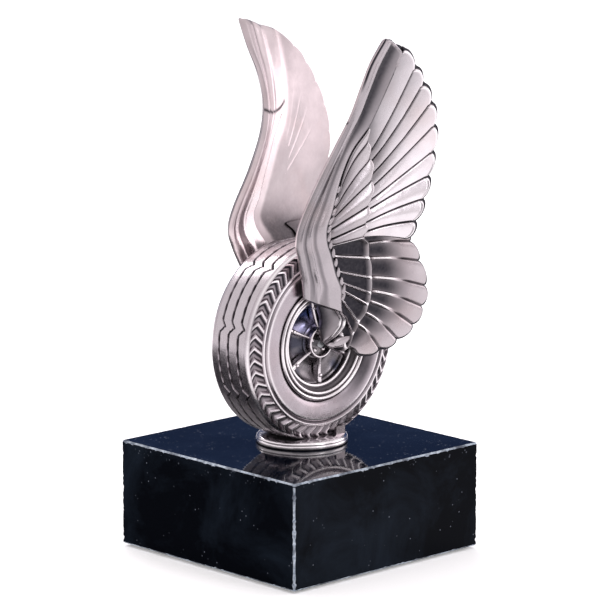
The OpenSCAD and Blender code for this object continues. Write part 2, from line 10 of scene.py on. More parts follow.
import bpy
import numpy as np
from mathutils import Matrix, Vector


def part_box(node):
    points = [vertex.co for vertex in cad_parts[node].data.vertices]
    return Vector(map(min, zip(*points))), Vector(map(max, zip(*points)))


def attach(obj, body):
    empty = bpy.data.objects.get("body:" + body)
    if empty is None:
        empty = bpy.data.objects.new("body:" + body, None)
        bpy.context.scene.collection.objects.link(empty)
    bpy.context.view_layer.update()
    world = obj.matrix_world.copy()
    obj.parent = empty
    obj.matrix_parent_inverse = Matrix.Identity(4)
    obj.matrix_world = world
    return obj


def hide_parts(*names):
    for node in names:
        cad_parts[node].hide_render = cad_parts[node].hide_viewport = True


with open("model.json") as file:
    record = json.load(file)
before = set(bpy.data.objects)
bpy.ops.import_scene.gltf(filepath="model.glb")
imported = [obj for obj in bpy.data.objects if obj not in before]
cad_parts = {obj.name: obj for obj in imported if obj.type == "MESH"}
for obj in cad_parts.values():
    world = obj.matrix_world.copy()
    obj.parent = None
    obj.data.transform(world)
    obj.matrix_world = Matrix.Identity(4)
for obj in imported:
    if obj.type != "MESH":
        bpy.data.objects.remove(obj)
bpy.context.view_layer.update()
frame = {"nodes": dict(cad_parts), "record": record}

MM = 0.001
SIDES = {"left": 1, "right": -1}
rng = np.random.default_rng(7)
scene = bpy.context.scene


# ---------- places taken from the frame ----------

def middle(node):
    low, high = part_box(node)
    return (low + high) / 2


AXLE = np.array(middle("axle_rod"))
STONE_LOW, STONE_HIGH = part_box("stone_base")
DISC_LOW, DISC_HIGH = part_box("plinth_disc")
WING_TOP_MM = (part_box("left_wing_arm")[1].z - AXLE[2]) / MM
TYRE_LOW, TYRE_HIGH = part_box("tyre")
TYRE_R_MM = (TYRE_HIGH.z - TYRE_LOW.z) / 2 / MM
DISC_R_MM = (DISC_HIGH.x - DISC_LOW.x) / 2 / MM


# ---------- small maths ----------

def mix(a, b, t):
    return a + (b - a) * t


def ease(t):
    c = np.clip(t, 0, 1)
    return c * c * (3 - 2 * c)


def bump(t, centre, width):
    """Bell of height 1 about a centre."""
    return np.exp(-((t - centre) / width) ** 2)


def arch(w):
    return np.sqrt(np.clip(1 - (2 * w - 1) ** 2, 0, None))


def dome(t, centre, half):
    """Half an ellipse of height 1 about a centre."""
    return np.sqrt(np.clip(1 - ((t - centre) / half) ** 2, 0, 1))


def norm(vectors):
    return np.linalg.norm(vectors, axis=-1)


def curve(points, share):
    """Point or value at each share of a smooth curve through the list of points."""
    p = np.asarray(points, float)
    n = len(p) - 1
    s = np.clip(share, 0, 1) * n
    i = np.minimum(s.astype(int), n - 1)
    w = s - i
    if p.ndim > 1:
        w = w[..., None]
    a, b, c, d = p[np.maximum(i - 1, 0)], p[i], p[i + 1], p[np.minimum(i + 2, n)]
    return (2 * b + (c - a) * w + (2 * a - 5 * b + 4 * c - d) * w * w
            + (3 * b - a - 3 * c + d) * w ** 3) / 2


def filleted(points, steps=5):
    """Closed outline of (radius, x, corner) points in mm, each corner rounded over its own length."""
    p = np.array([q[:2] for q in points], float)
    result = []
    for i, corner in enumerate(points):
        here, before, after = p[i], p[i - 1], p[(i + 1) % len(p)]
        size = corner[2]
        if size <= 0:
            result.append(here)
            continue
        start = here + (before - here) / norm(before - here) * size
        end = here + (after - here) / norm(after - here) * size
        for t in np.linspace(0, 1, steps):
            result.append((1 - t) ** 2 * start + 2 * t * (1 - t) * here + t * t * end)
    return np.array(result)


# ---------- mesh building ----------

def grid_quads(rows, cols, closed_rows=False, closed_cols=False):
    """Quads of a grid of points, closed on itself either way if asked."""
    i = np.arange(rows if closed_rows else rows - 1)[:, None]
    j = np.arange(cols if closed_cols else cols - 1)[None, :]
    down, along = (i + 1) % rows * cols, (j + 1) % cols
    corners = [i * cols + j, i * cols + along, down + along, down + j]
    return np.stack(np.broadcast_arrays(*corners), -1).reshape(-1, 4)


def volume(points, quads):
    a, b, c, d = (points[quads[:, k]] for k in range(4))
    return (np.einsum("ij,ij->i", a, np.cross(b, c)) + np.einsum("ij,ij->i", a, np.cross(c, d))).sum()


def in_scene(name, data):
    piece = bpy.data.objects.new(name, data)
    scene.collection.objects.link(piece)
    return piece


def make_object(name, points, quads, patina_and_shading=None, sharp=50):
    """Closed mesh of quads with its faces outward, smooth but for edges sharper than an angle."""
    if volume(points - points.mean(0), quads) < 0:
        quads = quads[:, ::-1]
    mesh = bpy.data.meshes.new(name)
    mesh.vertices.add(len(points))
    mesh.vertices.foreach_set("co", points.astype(np.float32).ravel())
    mesh.loops.add(quads.size)
    mesh.loops.foreach_set("vertex_index", np.ascontiguousarray(quads, np.int32).ravel())
    mesh.polygons.add(len(quads))
    mesh.polygons.foreach_set("loop_start", np.arange(0, quads.size, 4, dtype=np.int32))
    mesh.update(calc_edges=True)
    if patina_and_shading is not None:
        # Per-vertex patina, which also holds painted shade and painted highlights.
        layer = mesh.attributes.new("patina_and_shading", "FLOAT", "POINT")
        layer.data.foreach_set("value", np.clip(patina_and_shading, -1, 1).astype(np.float32).ravel())
    mesh.shade_smooth()
    mesh.set_sharp_from_angle(angle=math.radians(sharp))
    return in_scene(name, mesh)


def joined_parts(name, parts, sharp=50):
    """One object from several closed (points, quads, patina and painted shading) parts."""
    points, quads, patina_and_shading, start = [], [], [], 0
    for p, q, dark in parts:
        if volume(p - p.mean(0), q) < 0:
            q = q[:, ::-1]
        points.append(p)
        quads.append(q + start)
        patina_and_shading.append(np.broadcast_to(dark, len(p)))
        start += len(p)
    return make_object(name, np.concatenate(points), np.concatenate(quads),
                       np.concatenate(patina_and_shading), sharp)


def from_axle(points, side="left"):
    """Points in mm from the axle's middle, for the left side, as metres in the row frame."""
    return points * np.array([SIDES[side], 1, 1]) * MM + AXLE


def shell(outer, inner):
    """Closed skin around two grids of points of the same size."""
    rows, cols = outer.shape[:2]
    ring = np.concatenate([outer, inner[:, ::-1]], axis=1)
    quads = [grid_quads(rows, 2 * cols, closed_cols=True)]
    j = np.arange(cols - 1)
    for row in (0, rows - 1):
        base = row * 2 * cols
        cap = np.stack([base + j, base + j + 1, base + 2 * cols - 2 - j, base + 2 * cols - 1 - j], -1)
        quads.append(cap[:, ::-1] if row == 0 else cap)
    return ring.reshape(-1, 3), np.concatenate(quads)


def lathe(outline, count=192, side="left", dark=0.0):
    """Closed (radius, x) outline in mm turned about the axle."""
    turn = np.arange(count) / count * 2 * math.pi
    r, x = outline.T
    c, s = np.cos(turn)[:, None], np.sin(turn)[:, None]
    points = np.stack(np.broadcast_arrays(x, r * c, r * s), -1)
    quads = grid_quads(count, len(outline), closed_rows=True, closed_cols=True)
    shade = np.broadcast_to(dark, (count, len(outline))).ravel()
    return from_axle(points.reshape(-1, 3), side), quads, shade


# ---------- materials ----------

class Nodes:
    """Builds up a node tree. A value may be a number, a colour or another node's output."""

    def __init__(self, tree):
        self.nodes, self.links = tree.nodes, tree.links
        self.coordinates = self.nodes.new("ShaderNodeTexCoord").outputs

    def plug(self, socket, value):
        if isinstance(value, bpy.types.NodeSocket):
            self.links.new(value, socket)
        elif socket.type == "RGBA":
            socket.default_value = (*value, 1)
        else:
            socket.default_value = value

    def new(self, kind, **inputs):
        node = self.nodes.new("ShaderNode" + kind)
        for name, value in inputs.items():
            self.plug(node.inputs[name.replace("_", " ")], value)
        return node

    def span(self, value, low, high, to_low=0.0, to_high=1.0, smooth=False):
        node = self.new("MapRange", Value=value, From_Min=low, From_Max=high, To_Min=to_low, To_Max=to_high)
        if smooth:
            node.interpolation_type = "SMOOTHSTEP"
        return node.outputs["Result"]

    def maths(self, operation, a, b):
        node = self.nodes.new("ShaderNodeMath")
        node.operation = operation
        self.plug(node.inputs[0], a)
        self.plug(node.inputs[1], b)
        return node.outputs["Value"]

    def blend(self, factor, a, b):
        """Colour a where the factor is 0 and b where it is 1."""
        node = self.nodes.new("ShaderNodeMix")
        node.data_type = "RGBA"
        self.plug(node.inputs["Factor"], factor)
        self.plug(node.inputs[6], a)
        self.plug(node.inputs[7], b)
        return node.outputs[2]


class Paint(Nodes):
    """A surface material under construction."""

    def __init__(self, name):
        self.material = bpy.data.materials.new(name)
        self.material.use_nodes = True
        super().__init__(self.material.node_tree)
        self.shader = self.nodes["Principled BSDF"]
        self.place = self.coordinates["Object"]

    def noise(self, scale, detail=3.0, roughness=0.5, stretch=None, distortion=0.0):
        place = self.place
        if stretch:
            place = self.new("Mapping", Vector=place, Scale=stretch).outputs["Vector"]
        return self.new("TexNoise", Vector=place, Scale=scale, Detail=detail, Roughness=roughness,
                        Distortion=distortion).outputs["Fac"]

    def spots(self, scale, size):
        """1 in small round spots, 0 elsewhere."""
        node = self.new("TexVoronoi", Vector=self.place, Scale=scale)
        return self.span(node.outputs["Distance"], size, size * 0.5)

    def height(self, low, high):
        """Rises from 0 to 1 between two heights in metres."""
        return self.span(self.new("SeparateXYZ", Vector=self.place).outputs["Z"], low, high)

    def patina_and_shading(self):
        node = self.nodes.new("ShaderNodeAttribute")
        node.attribute_name = "patina_and_shading"
        return node.outputs["Fac"]

    def hollows(self, distance):
        """1 deep in corners, 0 on open surfaces."""
        node = self.new("AmbientOcclusion", Distance=distance)
        node.samples = 8
        return self.span(node.outputs["AO"], 0.75, 0.15)

    def relief(self, heights):
        """Chain of bumps from (height, strength, distance) entries."""
        normal = None
        for height, strength, distance in heights:
            node = self.new("Bump", Height=height, Strength=strength, Distance=distance)
            if normal is not None:
                self.plug(node.inputs["Normal"], normal)
            normal = node.outputs["Normal"]
        self.plug(self.shader.inputs["Normal"], normal)

    def set(self, **values):
        for name, value in values.items():
            self.plug(self.shader.inputs[name.replace("_", " ")], value)
        return self.material


# Colours the per-vertex attribute blends to: polish and painted highlights, and grime and painted shade.
POLISH_AND_HIGHLIGHT = (0.90, 0.86, 0.88)
GRIME_AND_SHADE = (0.022, 0.021, 0.027)


def nickel(name, bright, shine):
    """Plated casting, finely scratched. Its per-vertex attribute is 1 in blackened grooves and in painted shade,
    and -1 on polished crests and on painted highlights.
    """
    p = Paint(name)
    cloud = p.noise(90, 4, 0.6)
    wear_and_shading = p.patina_and_shading()
    # Darkened in hollows by ambient occlusion, as grime and as painted shade between parts, and by the attribute's
    # grooves and painted shade.
    dirt_and_shade = p.maths("MULTIPLY", p.hollows(0.004), 0.6)
    dirt_and_shade = p.maths("MAXIMUM", dirt_and_shade, wear_and_shading)
    dirt_and_shade = p.maths("MULTIPLY", dirt_and_shade, p.span(p.noise(900, 3, 0.6), 0.2, 0.6, 0.93, 1.0))
    dirt_and_shade = p.maths("MULTIPLY", dirt_and_shade, 0.99)
    tone = p.blend(p.span(cloud, 0.35, 0.7), bright, tuple(0.84 * c for c in bright))
    tarnish = p.span(p.noise(45, 4, 0.55, distortion=0.4), 0.5, 0.78, 0, 0.5)
    tone = p.blend(tarnish, tone, (bright[0] * 0.92, bright[1] * 0.82, bright[2] * 0.78))
    # Negative attribute values brighten the tone: polished crests and painted highlights.
    polish_and_highlight = p.maths("MAXIMUM", p.maths("MULTIPLY", wear_and_shading, -1.0), 0.0)
    tone = p.blend(polish_and_highlight, tone, POLISH_AND_HIGHLIGHT)
    colour = p.blend(dirt_and_shade, tone, GRIME_AND_SHADE)
    rough = p.span(p.noise(260, 5, 0.65), 0.3, 0.75, shine, shine + 0.1)
    rough = p.maths("ADD", rough, p.maths("MULTIPLY", dirt_and_shade, 0.25))
    scratches = p.noise(500, 2, 0.5, stretch=(1.0, 0.12, 6.0))
    p.relief([(p.noise(160, 3, 0.55), 0.10, 0.0012), (scratches, 0.05, 0.0002),
              (p.noise(1500, 2, 0.6), 0.06, 0.0002)])
    return p.set(Base_Color=colour, Metallic=1.0, Roughness=rough)


def dish_mirror():
    """Tarnished dished disc with a painted reflection: deep blue high up, and brown-grey lower down."""
    p = Paint("dish_mirror")
    high = p.height(AXLE[2] + 0.003, AXLE[2] + 0.0045)
    higher = p.height(AXLE[2] + 0.006, AXLE[2] + 0.0095)
    cloud = p.span(p.noise(140, 4, 0.6, distortion=0.8), 0.35, 0.7)
    low_tone = p.blend(cloud, (0.13, 0.12, 0.13), (0.26, 0.235, 0.25))
    low_tone = p.blend(p.span(p.noise(75, 2, 0.5), 0.52, 0.6), low_tone, (0.055, 0.055, 0.075))
    # Painted reflection high on the dish: lavender just above the axle, navy higher up.
    painted_reflection = p.blend(higher, p.blend(cloud, (0.22, 0.22, 0.36), (0.50, 0.47, 0.64)), (0.03, 0.045, 0.12))
    p.relief([(p.noise(120, 3, 0.5), 0.06, 0.002), (p.noise(900, 2, 0.6), 0.06, 0.0002)])
    rough = p.span(p.noise(300, 4, 0.6), 0.3, 0.7, 0.2, 0.34)
    return p.set(Base_Color=p.blend(high, low_tone, painted_reflection), Metallic=1.0, Roughness=rough)


def black_stone(name, ior, dark, pale):
    """Polished stone with faint clouds and a few pale specks."""
    p = Paint(name)
    cloud = p.span(p.noise(35, 6, 0.65, distortion=0.6), 0.45, 0.75)
    specks = p.maths("MULTIPLY", p.spots(420, 0.13), p.span(p.noise(150, 2), 0.55, 0.62))
    near_edge = p.height(STONE_HIGH.z - 0.005, STONE_HIGH.z - 0.001)
    bruises = p.maths("MULTIPLY", p.spots(750, 0.3), p.span(p.noise(260, 3), 0.56, 0.6))
    specks = p.maths("MAXIMUM", specks, p.maths("MULTIPLY", bruises, near_edge))
    colour = p.blend(p.maths("MULTIPLY", specks, 0.4), p.blend(cloud, dark, pale), (0.30, 0.33, 0.40))
    rough = p.span(p.noise(60, 4, 0.6), 0.35, 0.7, 0.03, 0.09)
    p.relief([(p.noise(70, 3, 0.5), 0.03, 0.001), (p.noise(700, 3, 0.6), 0.02, 0.0003)])
    return p.set(Base_Color=colour, Roughness=rough, IOR=ior)


def chipped_edge():
    """Ground chamfer of the block: pale and bluish, with darker bruises."""
    p = Paint("chipped_edge")
    grain = p.noise(900, 5, 0.7)
    bruise = p.span(p.noise(130, 4, 0.6), 0.42, 0.62)
    tone = p.blend(p.span(grain, 0.35, 0.65), (0.16, 0.21, 0.28), (0.62, 0.68, 0.76))
    p.relief([(grain, 0.5, 0.0003)])
    return p.set(Base_Color=p.blend(bruise, tone, (0.05, 0.06, 0.085)), Roughness=p.span(grain, 0.3, 0.7, 0.3, 0.6))


def felt():
    p = Paint("green_felt")
    fibres = p.noise(2600, 4, 0.7)
    colour = p.blend(p.span(fibres, 0.3, 0.7), (0.012, 0.05, 0.026), (0.03, 0.1, 0.055))
    p.relief([(fibres, 0.6, 0.0004)])
    return p.set(Base_Color=colour, Roughness=0.95)


def plain_steel():
    p = Paint("steel")
    grain = p.noise(900, 4, 0.6, stretch=(1, 1, 0.08))
    colour = p.blend(p.span(grain, 0.3, 0.7), (0.36, 0.37, 0.39), (0.5, 0.51, 0.53))
    p.relief([(grain, 0.15, 0.0002)])
    return p.set(Base_Color=colour, Metallic=1.0, Roughness=p.span(grain, 0.3, 0.7, 0.28, 0.42))


# Colour and roughness of each plating; IOR, dark and pale colour of each stone face.
NICKELS = {"antique_nickel": ((0.42, 0.375, 0.395), 0.2), "tyre_nickel": ((0.40, 0.355, 0.385), 0.22),
           # The arm's plating is a darker copy of the bright plating, painted shade; the inner faces' is a light
           # pinkish copy, painted light.
           "shaded_arm_nickel": ((0.40, 0.365, 0.385), 0.2), "bright_nickel": ((0.74, 0.69, 0.72), 0.15),
           "lit_inner_nickel": ((0.76, 0.655, 0.675), 0.24)}
STONES = {"black_stone": (1.5, (0.003, 0.004, 0.008), (0.010, 0.015, 0.028)),
          # The sides are a darker, less reflective copy of the top's stone, as painted shade.
          "shaded_stone_sides": (1.09, (0.002, 0.0025, 0.004), (0.009, 0.013, 0.020))}
MATERIALS = {name: nickel(name, *look) for name, look in NICKELS.items()}
MATERIALS |= {name: black_stone(name, *look) for name, look in STONES.items()}
MATERIALS |= {"dish_mirror": dish_mirror(), "steel": plain_steel(), "chipped_edge": chipped_edge(),
              "green_felt": felt()}


def hand_over(piece, slot, *nodes, finish=None):
    """Gives a piece its material and ties it to the frame."""
    piece.data.materials.append(MATERIALS[finish or slot])
    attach(piece, "root")
    if nodes:
        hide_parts(*nodes)
    return piece


for subpart in frame["record"]["subparts"]:
    node = frame["nodes"][subpart["node"]]
    node.data.materials.clear()
    node.data.materials.append(MATERIALS[subpart["material_slot"]])


# ---------- stone block ----------

CHAMFER_MM = 0.55
RECESS_R_MM = 10.0
RECESS_DEPTH_MM = 12.0
BORE_R_MM = 3.3
SIDE_STEPS = 150
EDGE_STEPS = 2000
CHIPS = 90


def chips(length, count, deepest):
    """Depth in mm of random chips along an edge, at evenly spaced points; round in plan."""
    place = np.linspace(0, length, EDGE_STEPS)
    depth = np.zeros_like(place)
    for _ in range(count):
        centre, half = rng.uniform(0, length), rng.uniform(0.15, 0.9)
        bite = rng.uniform(0.2, 1.0) ** 2 * deepest * dome(place, centre, half)
        depth = np.maximum(depth, bite)
    return depth


def square_ring(half, cut, bite=0.0):
    """Points around a square whose corners are cut; a bite moves them inward."""
    ring = []
    for k in range(4):
        t = np.linspace(-(half - cut), half - cut, SIDE_STEPS)
        side = np.stack([t, np.full(SIDE_STEPS, -half)], -1)
        a = k * math.pi / 2
        ring.append(side @ np.array([[math.cos(a), math.sin(a)], [-math.sin(a), math.cos(a)]]))
    ring = np.concatenate(ring)
    return ring * (1 - np.broadcast_to(bite, len(ring))[:, None] / half)


def block():
    """Stone block with chipped chamfers, its stud hole and the recess for the nut."""
    half = (STONE_HIGH.x - STONE_LOW.x) / 2 / MM
    top = (STONE_HIGH.z - STONE_LOW.z) / MM
    count = 4 * SIDE_STEPS
    around = np.linspace(0, 8 * half, count)
    spread = np.linspace(0, 8 * half, EDGE_STEPS)
    upper, lower, inward, under = (np.interp(around, spread, chips(8 * half, CHIPS, d))
                                   for d in (0.6, 0.5, 0.4, 0.4))
    heights = np.linspace(CHAMFER_MM, top - CHAMFER_MM, 60)
    corner = np.interp(heights, np.linspace(0, top, EDGE_STEPS), chips(top, 24, 0.6))
    rows = [(square_ring(half - CHAMFER_MM, 0.1, under), 0, 2),
            (square_ring(half, CHAMFER_MM), CHAMFER_MM + lower * 0.6, 1)]
    for z, bite in zip(heights[1:-1], corner[1:-1]):
        rows.append((square_ring(half, CHAMFER_MM + bite), z, 1))
    rows.append((square_ring(half, CHAMFER_MM), top - CHAMFER_MM - upper, 2))
    edge = square_ring(half - CHAMFER_MM, 0.1, inward)
    rows.append((edge, top, 0))
    middle_y = np.array([0, AXLE[1] / MM])
    way = (edge - middle_y) / norm(edge - middle_y)[:, None]
    for share in (0.25, 0.5, 0.75):
        rows.append((mix(edge, middle_y + way * BORE_R_MM, share), top, 0))
    for radius, z in ((BORE_R_MM, top), (BORE_R_MM, RECESS_DEPTH_MM), (RECESS_R_MM, RECESS_DEPTH_MM),
                      (RECESS_R_MM, 0.0)):
        rows.append((middle_y + way * radius, z, 1))
    points = np.concatenate([np.column_stack([flat, np.broadcast_to(z, count)]) for flat, z, _ in rows]) * MM
    quads = grid_quads(len(rows), count, closed_rows=True, closed_cols=True)
    finish = np.repeat([row[2] for row in rows], count).reshape(len(rows), count)
    finish[1:len(heights) - 1, SIDE_STEPS - 1::SIDE_STEPS] = 2
    piece = make_object("stone_block", points + np.array([0, 0, STONE_LOW.z]), quads, None, 25)
    hand_over(piece, "black_stone", "stone_base")
    # The sides take the darker, less reflective copy of the stone, painted shade.
    piece.data.materials.append(MATERIALS["shaded_stone_sides"])
    piece.data.materials.append(MATERIALS["chipped_edge"])
    piece.data.polygons.foreach_set("material_index", finish.astype(np.int32).ravel())
    return piece


DISC_STEPS = 180


def disc():
    """Turned disc the tyre stands on, its edge rounded and softly grooved."""
    high = (DISC_HIGH.z - DISC_LOW.z) / MM
    r = DISC_R_MM
    edge = filleted([(r - 0.5, 0, 0), (r, 0.12 * high, 0.3), (r, 0.42 * high, 0.3), (r - 0.35, 0.52 * high, 0.1),
                     (r - 0.1, 0.62 * high, 0.2), (r - 0.3, 0.8 * high, 0.5), (r - 1.4, high, 0)])
    outline = np.array([(BORE_R_MM, 0), *edge, (BORE_R_MM, high)])
    turn = np.linspace(0, 2 * math.pi, DISC_STEPS, endpoint=False)
    around, up = outline[:, :1], outline[:, 1:]
    points = np.stack(np.broadcast_arrays(around * np.cos(turn), around * np.sin(turn), up), -1) * MM
    centre = np.array([*((DISC_LOW + DISC_HIGH) / 2)[:2], DISC_LOW.z])
    crease = np.where(outline[:, 0] > r - 2, 1.4 * bump(outline[:, 1], 0.52 * high, 0.12) - 0.8, 0)
    quads = grid_quads(len(outline), DISC_STEPS, closed_rows=True, closed_cols=True)
    piece = make_object("turned_disc", points.reshape(-1, 3) + centre, quads, np.repeat(crease, DISC_STEPS), 40)
    return hand_over(piece, "bright_nickel", "plinth_disc")


# ---------- tyre ----------

TREAD_HALF_MM = 7.6
CROWN_DROP_MM = 0.4
LUGS = 48
STEPS_PER_LUG = 22
LUG_H_MM = 0.9
LUG_SWEEP = 0.55
LUG_APEX = 0.47
GROOVE_PITCH_MM = 4.8
GROOVE_HALF_MM = 0.46
GROOVE_DEPTH_MM = 0.8
GROOVES = 3
JOGS = 9
JOG_AT = math.radians(166)
JOG_MM = 1.7
JOG_DRIFT_MM = 0.7
BROW = [[TYRE_R_MM - CROWN_DROP_MM, TREAD_HALF_MM], [35.14, 8.2], [35.0, 8.8], [34.7, 9.4], [34.4, 9.8]]
SHOULDER = [[34.4, 9.8], [33.4, 10.4], [31.8, 11.0], [29.9, 11.5]]
SIDEWALL = [
    [29.9, 11.5], [29.7, 11.75], [29.4, 11.88], [29.0, 11.85], [28.75, 11.6], [28.5, 11.3], [28.25, 11.28],
    [28.0, 11.5], [27.7, 11.8], [27.2, 11.95], [26, 12.0], [24.6, 12.0], [23.5, 11.93], [22.4, 11.7],
    [21.6, 11.35], [21.1, 10.9], [20.95, 10.4], [20.9, 10.0]]
SEAT_R_MM = 19.05
SEAT_HALF_MM = 10.0


def tyre_outline():
    """Half outline (radius, x) from the middle of the tread to the bead, and the share of each
    point along the lugs' shoulder, which is -1 off the shoulder."""
    x = np.linspace(0, TREAD_HALF_MM, 62)
    tread = np.stack([TYRE_R_MM - CROWN_DROP_MM * (x / TREAD_HALF_MM) ** 2, x], -1)
    brow = curve(BROW, np.linspace(0, 1, 14))
    t = np.linspace(0, 1, 44)
    shoulder = curve(SHOULDER, t)
    sidewall = curve(SIDEWALL, np.linspace(0, 1, 86))
    outline = np.concatenate([tread, brow[1:], shoulder[1:], sidewall[1:]])
    share = np.full(len(outline), -1.0)
    first = len(tread) + len(brow) - 1
    share[first:first + len(t) - 1] = t[1:]
    return outline, share


def jogged(turn):
    """Sideways place of the tread grooves, in mm: they drift, then dip and return at each jog."""
    section = ((turn - JOG_AT) / (2 * math.pi) * JOGS + 0.5) % 1 - 0.5
    width = np.where(section < 0, 0.11, 0.09)
    return JOG_MM * ease(1 - np.abs(section) / width) + JOG_DRIFT_MM * ((section % 1) - 0.5)


def tyre():
    half, share = tyre_outline()
    outline = np.concatenate([half[:0:-1] * [1, -1], half])
    lug_share = np.concatenate([share[:0:-1], share])
    count = LUGS * STEPS_PER_LUG
    turn = (np.arange(count) + 0.5) / count * 2 * math.pi
    a, r, x, s = turn[:, None], outline[:, 0], outline[:, 1], lug_share
    normal = np.gradient(outline, axis=0)[:, ::-1] * [1, -1]
    normal /= norm(normal)[:, None]

    grooves = np.zeros((count, len(outline)))
    for i in range(GROOVES):
        centre = (i - (GROOVES - 1) / 2) * GROOVE_PITCH_MM + jogged(turn)[:, None]
        grooves = np.maximum(grooves, 1 - ease((np.abs(x - centre) - GROOVE_HALF_MM + 0.12) / 0.24))
    grooves = np.where(np.abs(x) < TREAD_HALF_MM, grooves, 0)

    phase = (a / (2 * math.pi) * LUGS - LUG_SWEEP * (np.abs(s - LUG_APEX) / 0.5) ** 1.2) % 1
    tooth = ease(phase / 0.34) * (1 - ease((phase - 0.52) / 0.09))
    ends = ease(s / 0.07) * (1 - ease((s - 0.94) / 0.06))
    gap = np.where(s >= 0, (1 - tooth) * ends, 0)
    crest = 0.75 * bump(phase, 0.43, 0.11) * ends
    shade = np.where(s >= 0, (0.95 * bump(phase, 0.67, 0.13) + 0.35 * (1 - tooth)) * ends - crest, 0)
    off_tread = np.abs(x) > TREAD_HALF_MM
    seam = 0.85 * bump(r, 28.38, 0.22) - 0.8 * bump(r, 29.4, 0.28) - 0.6 * bump(r, 27.3, 0.4)
    # Painted shadow low on the rear of the sidewall, towards the rim.
    painted_shadow = 0.85 * bump(a, math.radians(329), 0.55) * (1 - ease((r - 23.5) / 4))
    # The brow beside the tread is painted bright, a painted highlight; from here the sidewall marks also hold it
    # and the painted shadow.
    seam = (seam - 0.75 * bump(r, 34.8, 0.28) + painted_shadow) * off_tread
    # Painted highlights on the tread: on its top and on its upper front.
    painted_highlight = -(1.1 * bump(a, math.radians(110), 0.30) + 0.35 * bump(a, math.radians(158), 0.4)) * (1 - off_tread)

    depth = GROOVE_DEPTH_MM * grooves + LUG_H_MM * gap
    radius = r - depth * normal[:, 0]
    across = x - depth * normal[:, 1]
    skin = np.stack([across, radius * np.cos(a), radius * np.sin(a)], -1)
    seat = np.array([SEAT_HALF_MM, -SEAT_HALF_MM])
    inner = np.stack(np.broadcast_arrays(seat, SEAT_R_MM * np.cos(a), SEAT_R_MM * np.sin(a)), -1)
    points = np.concatenate([skin, inner], axis=1)
    dark = np.where(grooves > 0.02, grooves, shade + seam + painted_highlight)
    dark = np.concatenate([dark, np.full((count, 2), 0.4)], axis=1)
    quads = grid_quads(count, points.shape[1], closed_rows=True, closed_cols=True)
    piece = make_object("tyre_casting", from_axle(points.reshape(-1, 3)), quads, dark.ravel(), 60)
    return hand_over(piece, "antique_nickel", "tyre", finish="tyre_nickel")


# ---------- wheel faces ----------

def side_piece(side, name, parts, slot, *nodes, finish=None):
    piece = joined_parts(f"{side}_{name}", parts)
    return hand_over(piece, slot, *(f"{side}_{node}" for node in nodes), finish=finish)


HUB_R_MM = 5.6
HUB_FLOOR_MM = 8.4
SPOKES = 6
SPOKE_START = 36
BOLTS = 5
BOLT_CIRCLE_MM = 3.4
RIVET_CIRCLE_MM = 12.4
SPOKE_FLOOR_MM = 6.0
SPOKE_END_MM = 14.9
HEAD_SIDES = 24
RIM = [
    (15.9, 0.1, 0), (19, 0.1, 0), (19, 10, 0), (20.65, 10.0, 0.1), (20.7, 11.3, 0.5), (20.1, 11.9, 0.35),
    (19.4, 11.6, 0.35), (19.1, 10.75, 0.3), (18.75, 10.75, 0.25), (18.5, 11.55, 0.3), (17.7, 11.55, 0.4),
    (17.35, 10.6, 0.35), (16.6, 9.9, 0.3), (16.2, 9.15, 0.3), (15.95, 9.5, 0.15), (15.2, 9.5, 0.3),
    (15.0, 9.0, 0.2), (15.0, 7.4, 0.1), (15.9, 7.4, 0)]
DISH = [[15.8, 7.4], [15.2, 7.38], [14.6, 7.1], [13.6, 6.2], [12, 5.5], [10.5, 5.2], [9, 5.3], [7.6, 5.8],
        [6.6, 6.6], [5.6, 7.4], [1.05, 7.4]]
CUP = [(1.05, 7.4, 0), (5.6, 7.4, 0), (5.65, 9.9, 0.25), (5.45, 10.3, 0.15), (4.95, 10.3, 0.15),
       (4.75, 10.0, 0.2), (4.7, 8.4, 0.3), (1.05, 8.4, 0)]


def rim(side):
    outline = filleted(RIM, 6)
    below_crest = np.where(outline[:, 0] > 16.1, 11.5, 9.45) - outline[:, 1]
    shade = mix(-0.75, 0.75, ease((below_crest - 0.1) / 0.5))
    return side_piece(side, "rim_pressing", [lathe(outline, 256, side, shade)], "antique_nickel", "rim")


def dish(side):
    smooth = curve(DISH, np.linspace(0, 1, 80))
    outline = np.concatenate([smooth, [[1.05, 3.6], [5, 3.6], [5, 4.4]], smooth[58:3:-6] - [0, 1.2]])
    return side_piece(side, "dish_pressing", [lathe(outline, 192, side)], "bright_nickel", "wheel_dish",
                      finish="dish_mirror")


def spoke(angle, side):
    """Tapered rib with a rounded top, from the hub cup to the lip of the rim."""
    along = np.linspace(0, 1, 28)
    around = np.linspace(0, math.pi, 15)
    reach = mix(HUB_R_MM - 0.5, SPOKE_END_MM, along)
    half = mix(0.62, 1.35, along ** 1.4)
    top = mix(9.5, 8.3, along) - 0.5 * np.sin(math.pi * along)
    ring = np.stack([np.cos(around), np.sin(around) ** 0.7], -1)
    across = half[:, None] * ring[:, 0]
    height = SPOKE_FLOOR_MM + (top - SPOKE_FLOOR_MM)[:, None] * ring[:, 1]
    c, s = math.cos(angle), math.sin(angle)
    y = reach[:, None] * c - across * s
    z = reach[:, None] * s + across * c
    outer = np.stack([height, y, z], -1)
    inner = outer.copy()
    inner[..., 0] = SPOKE_FLOOR_MM - 0.2
    points, quads = shell(outer, inner)
    return from_axle(points, side), quads, 0.0


def spider(side):
    cup = filleted(CUP, 6)
    inside = np.clip((4.9 - cup[:, 0]) / 0.4, 0, 1) * 0.7
    angles = [math.radians(SPOKE_START + 360 / SPOKES * i) for i in range(SPOKES)]
    parts = [lathe(cup, 96, side, inside)] + [spoke(a, side) for a in angles]
    return side_piece(side, "spider_casting", parts, "antique_nickel", "spoke_spider", finish="bright_nickel")


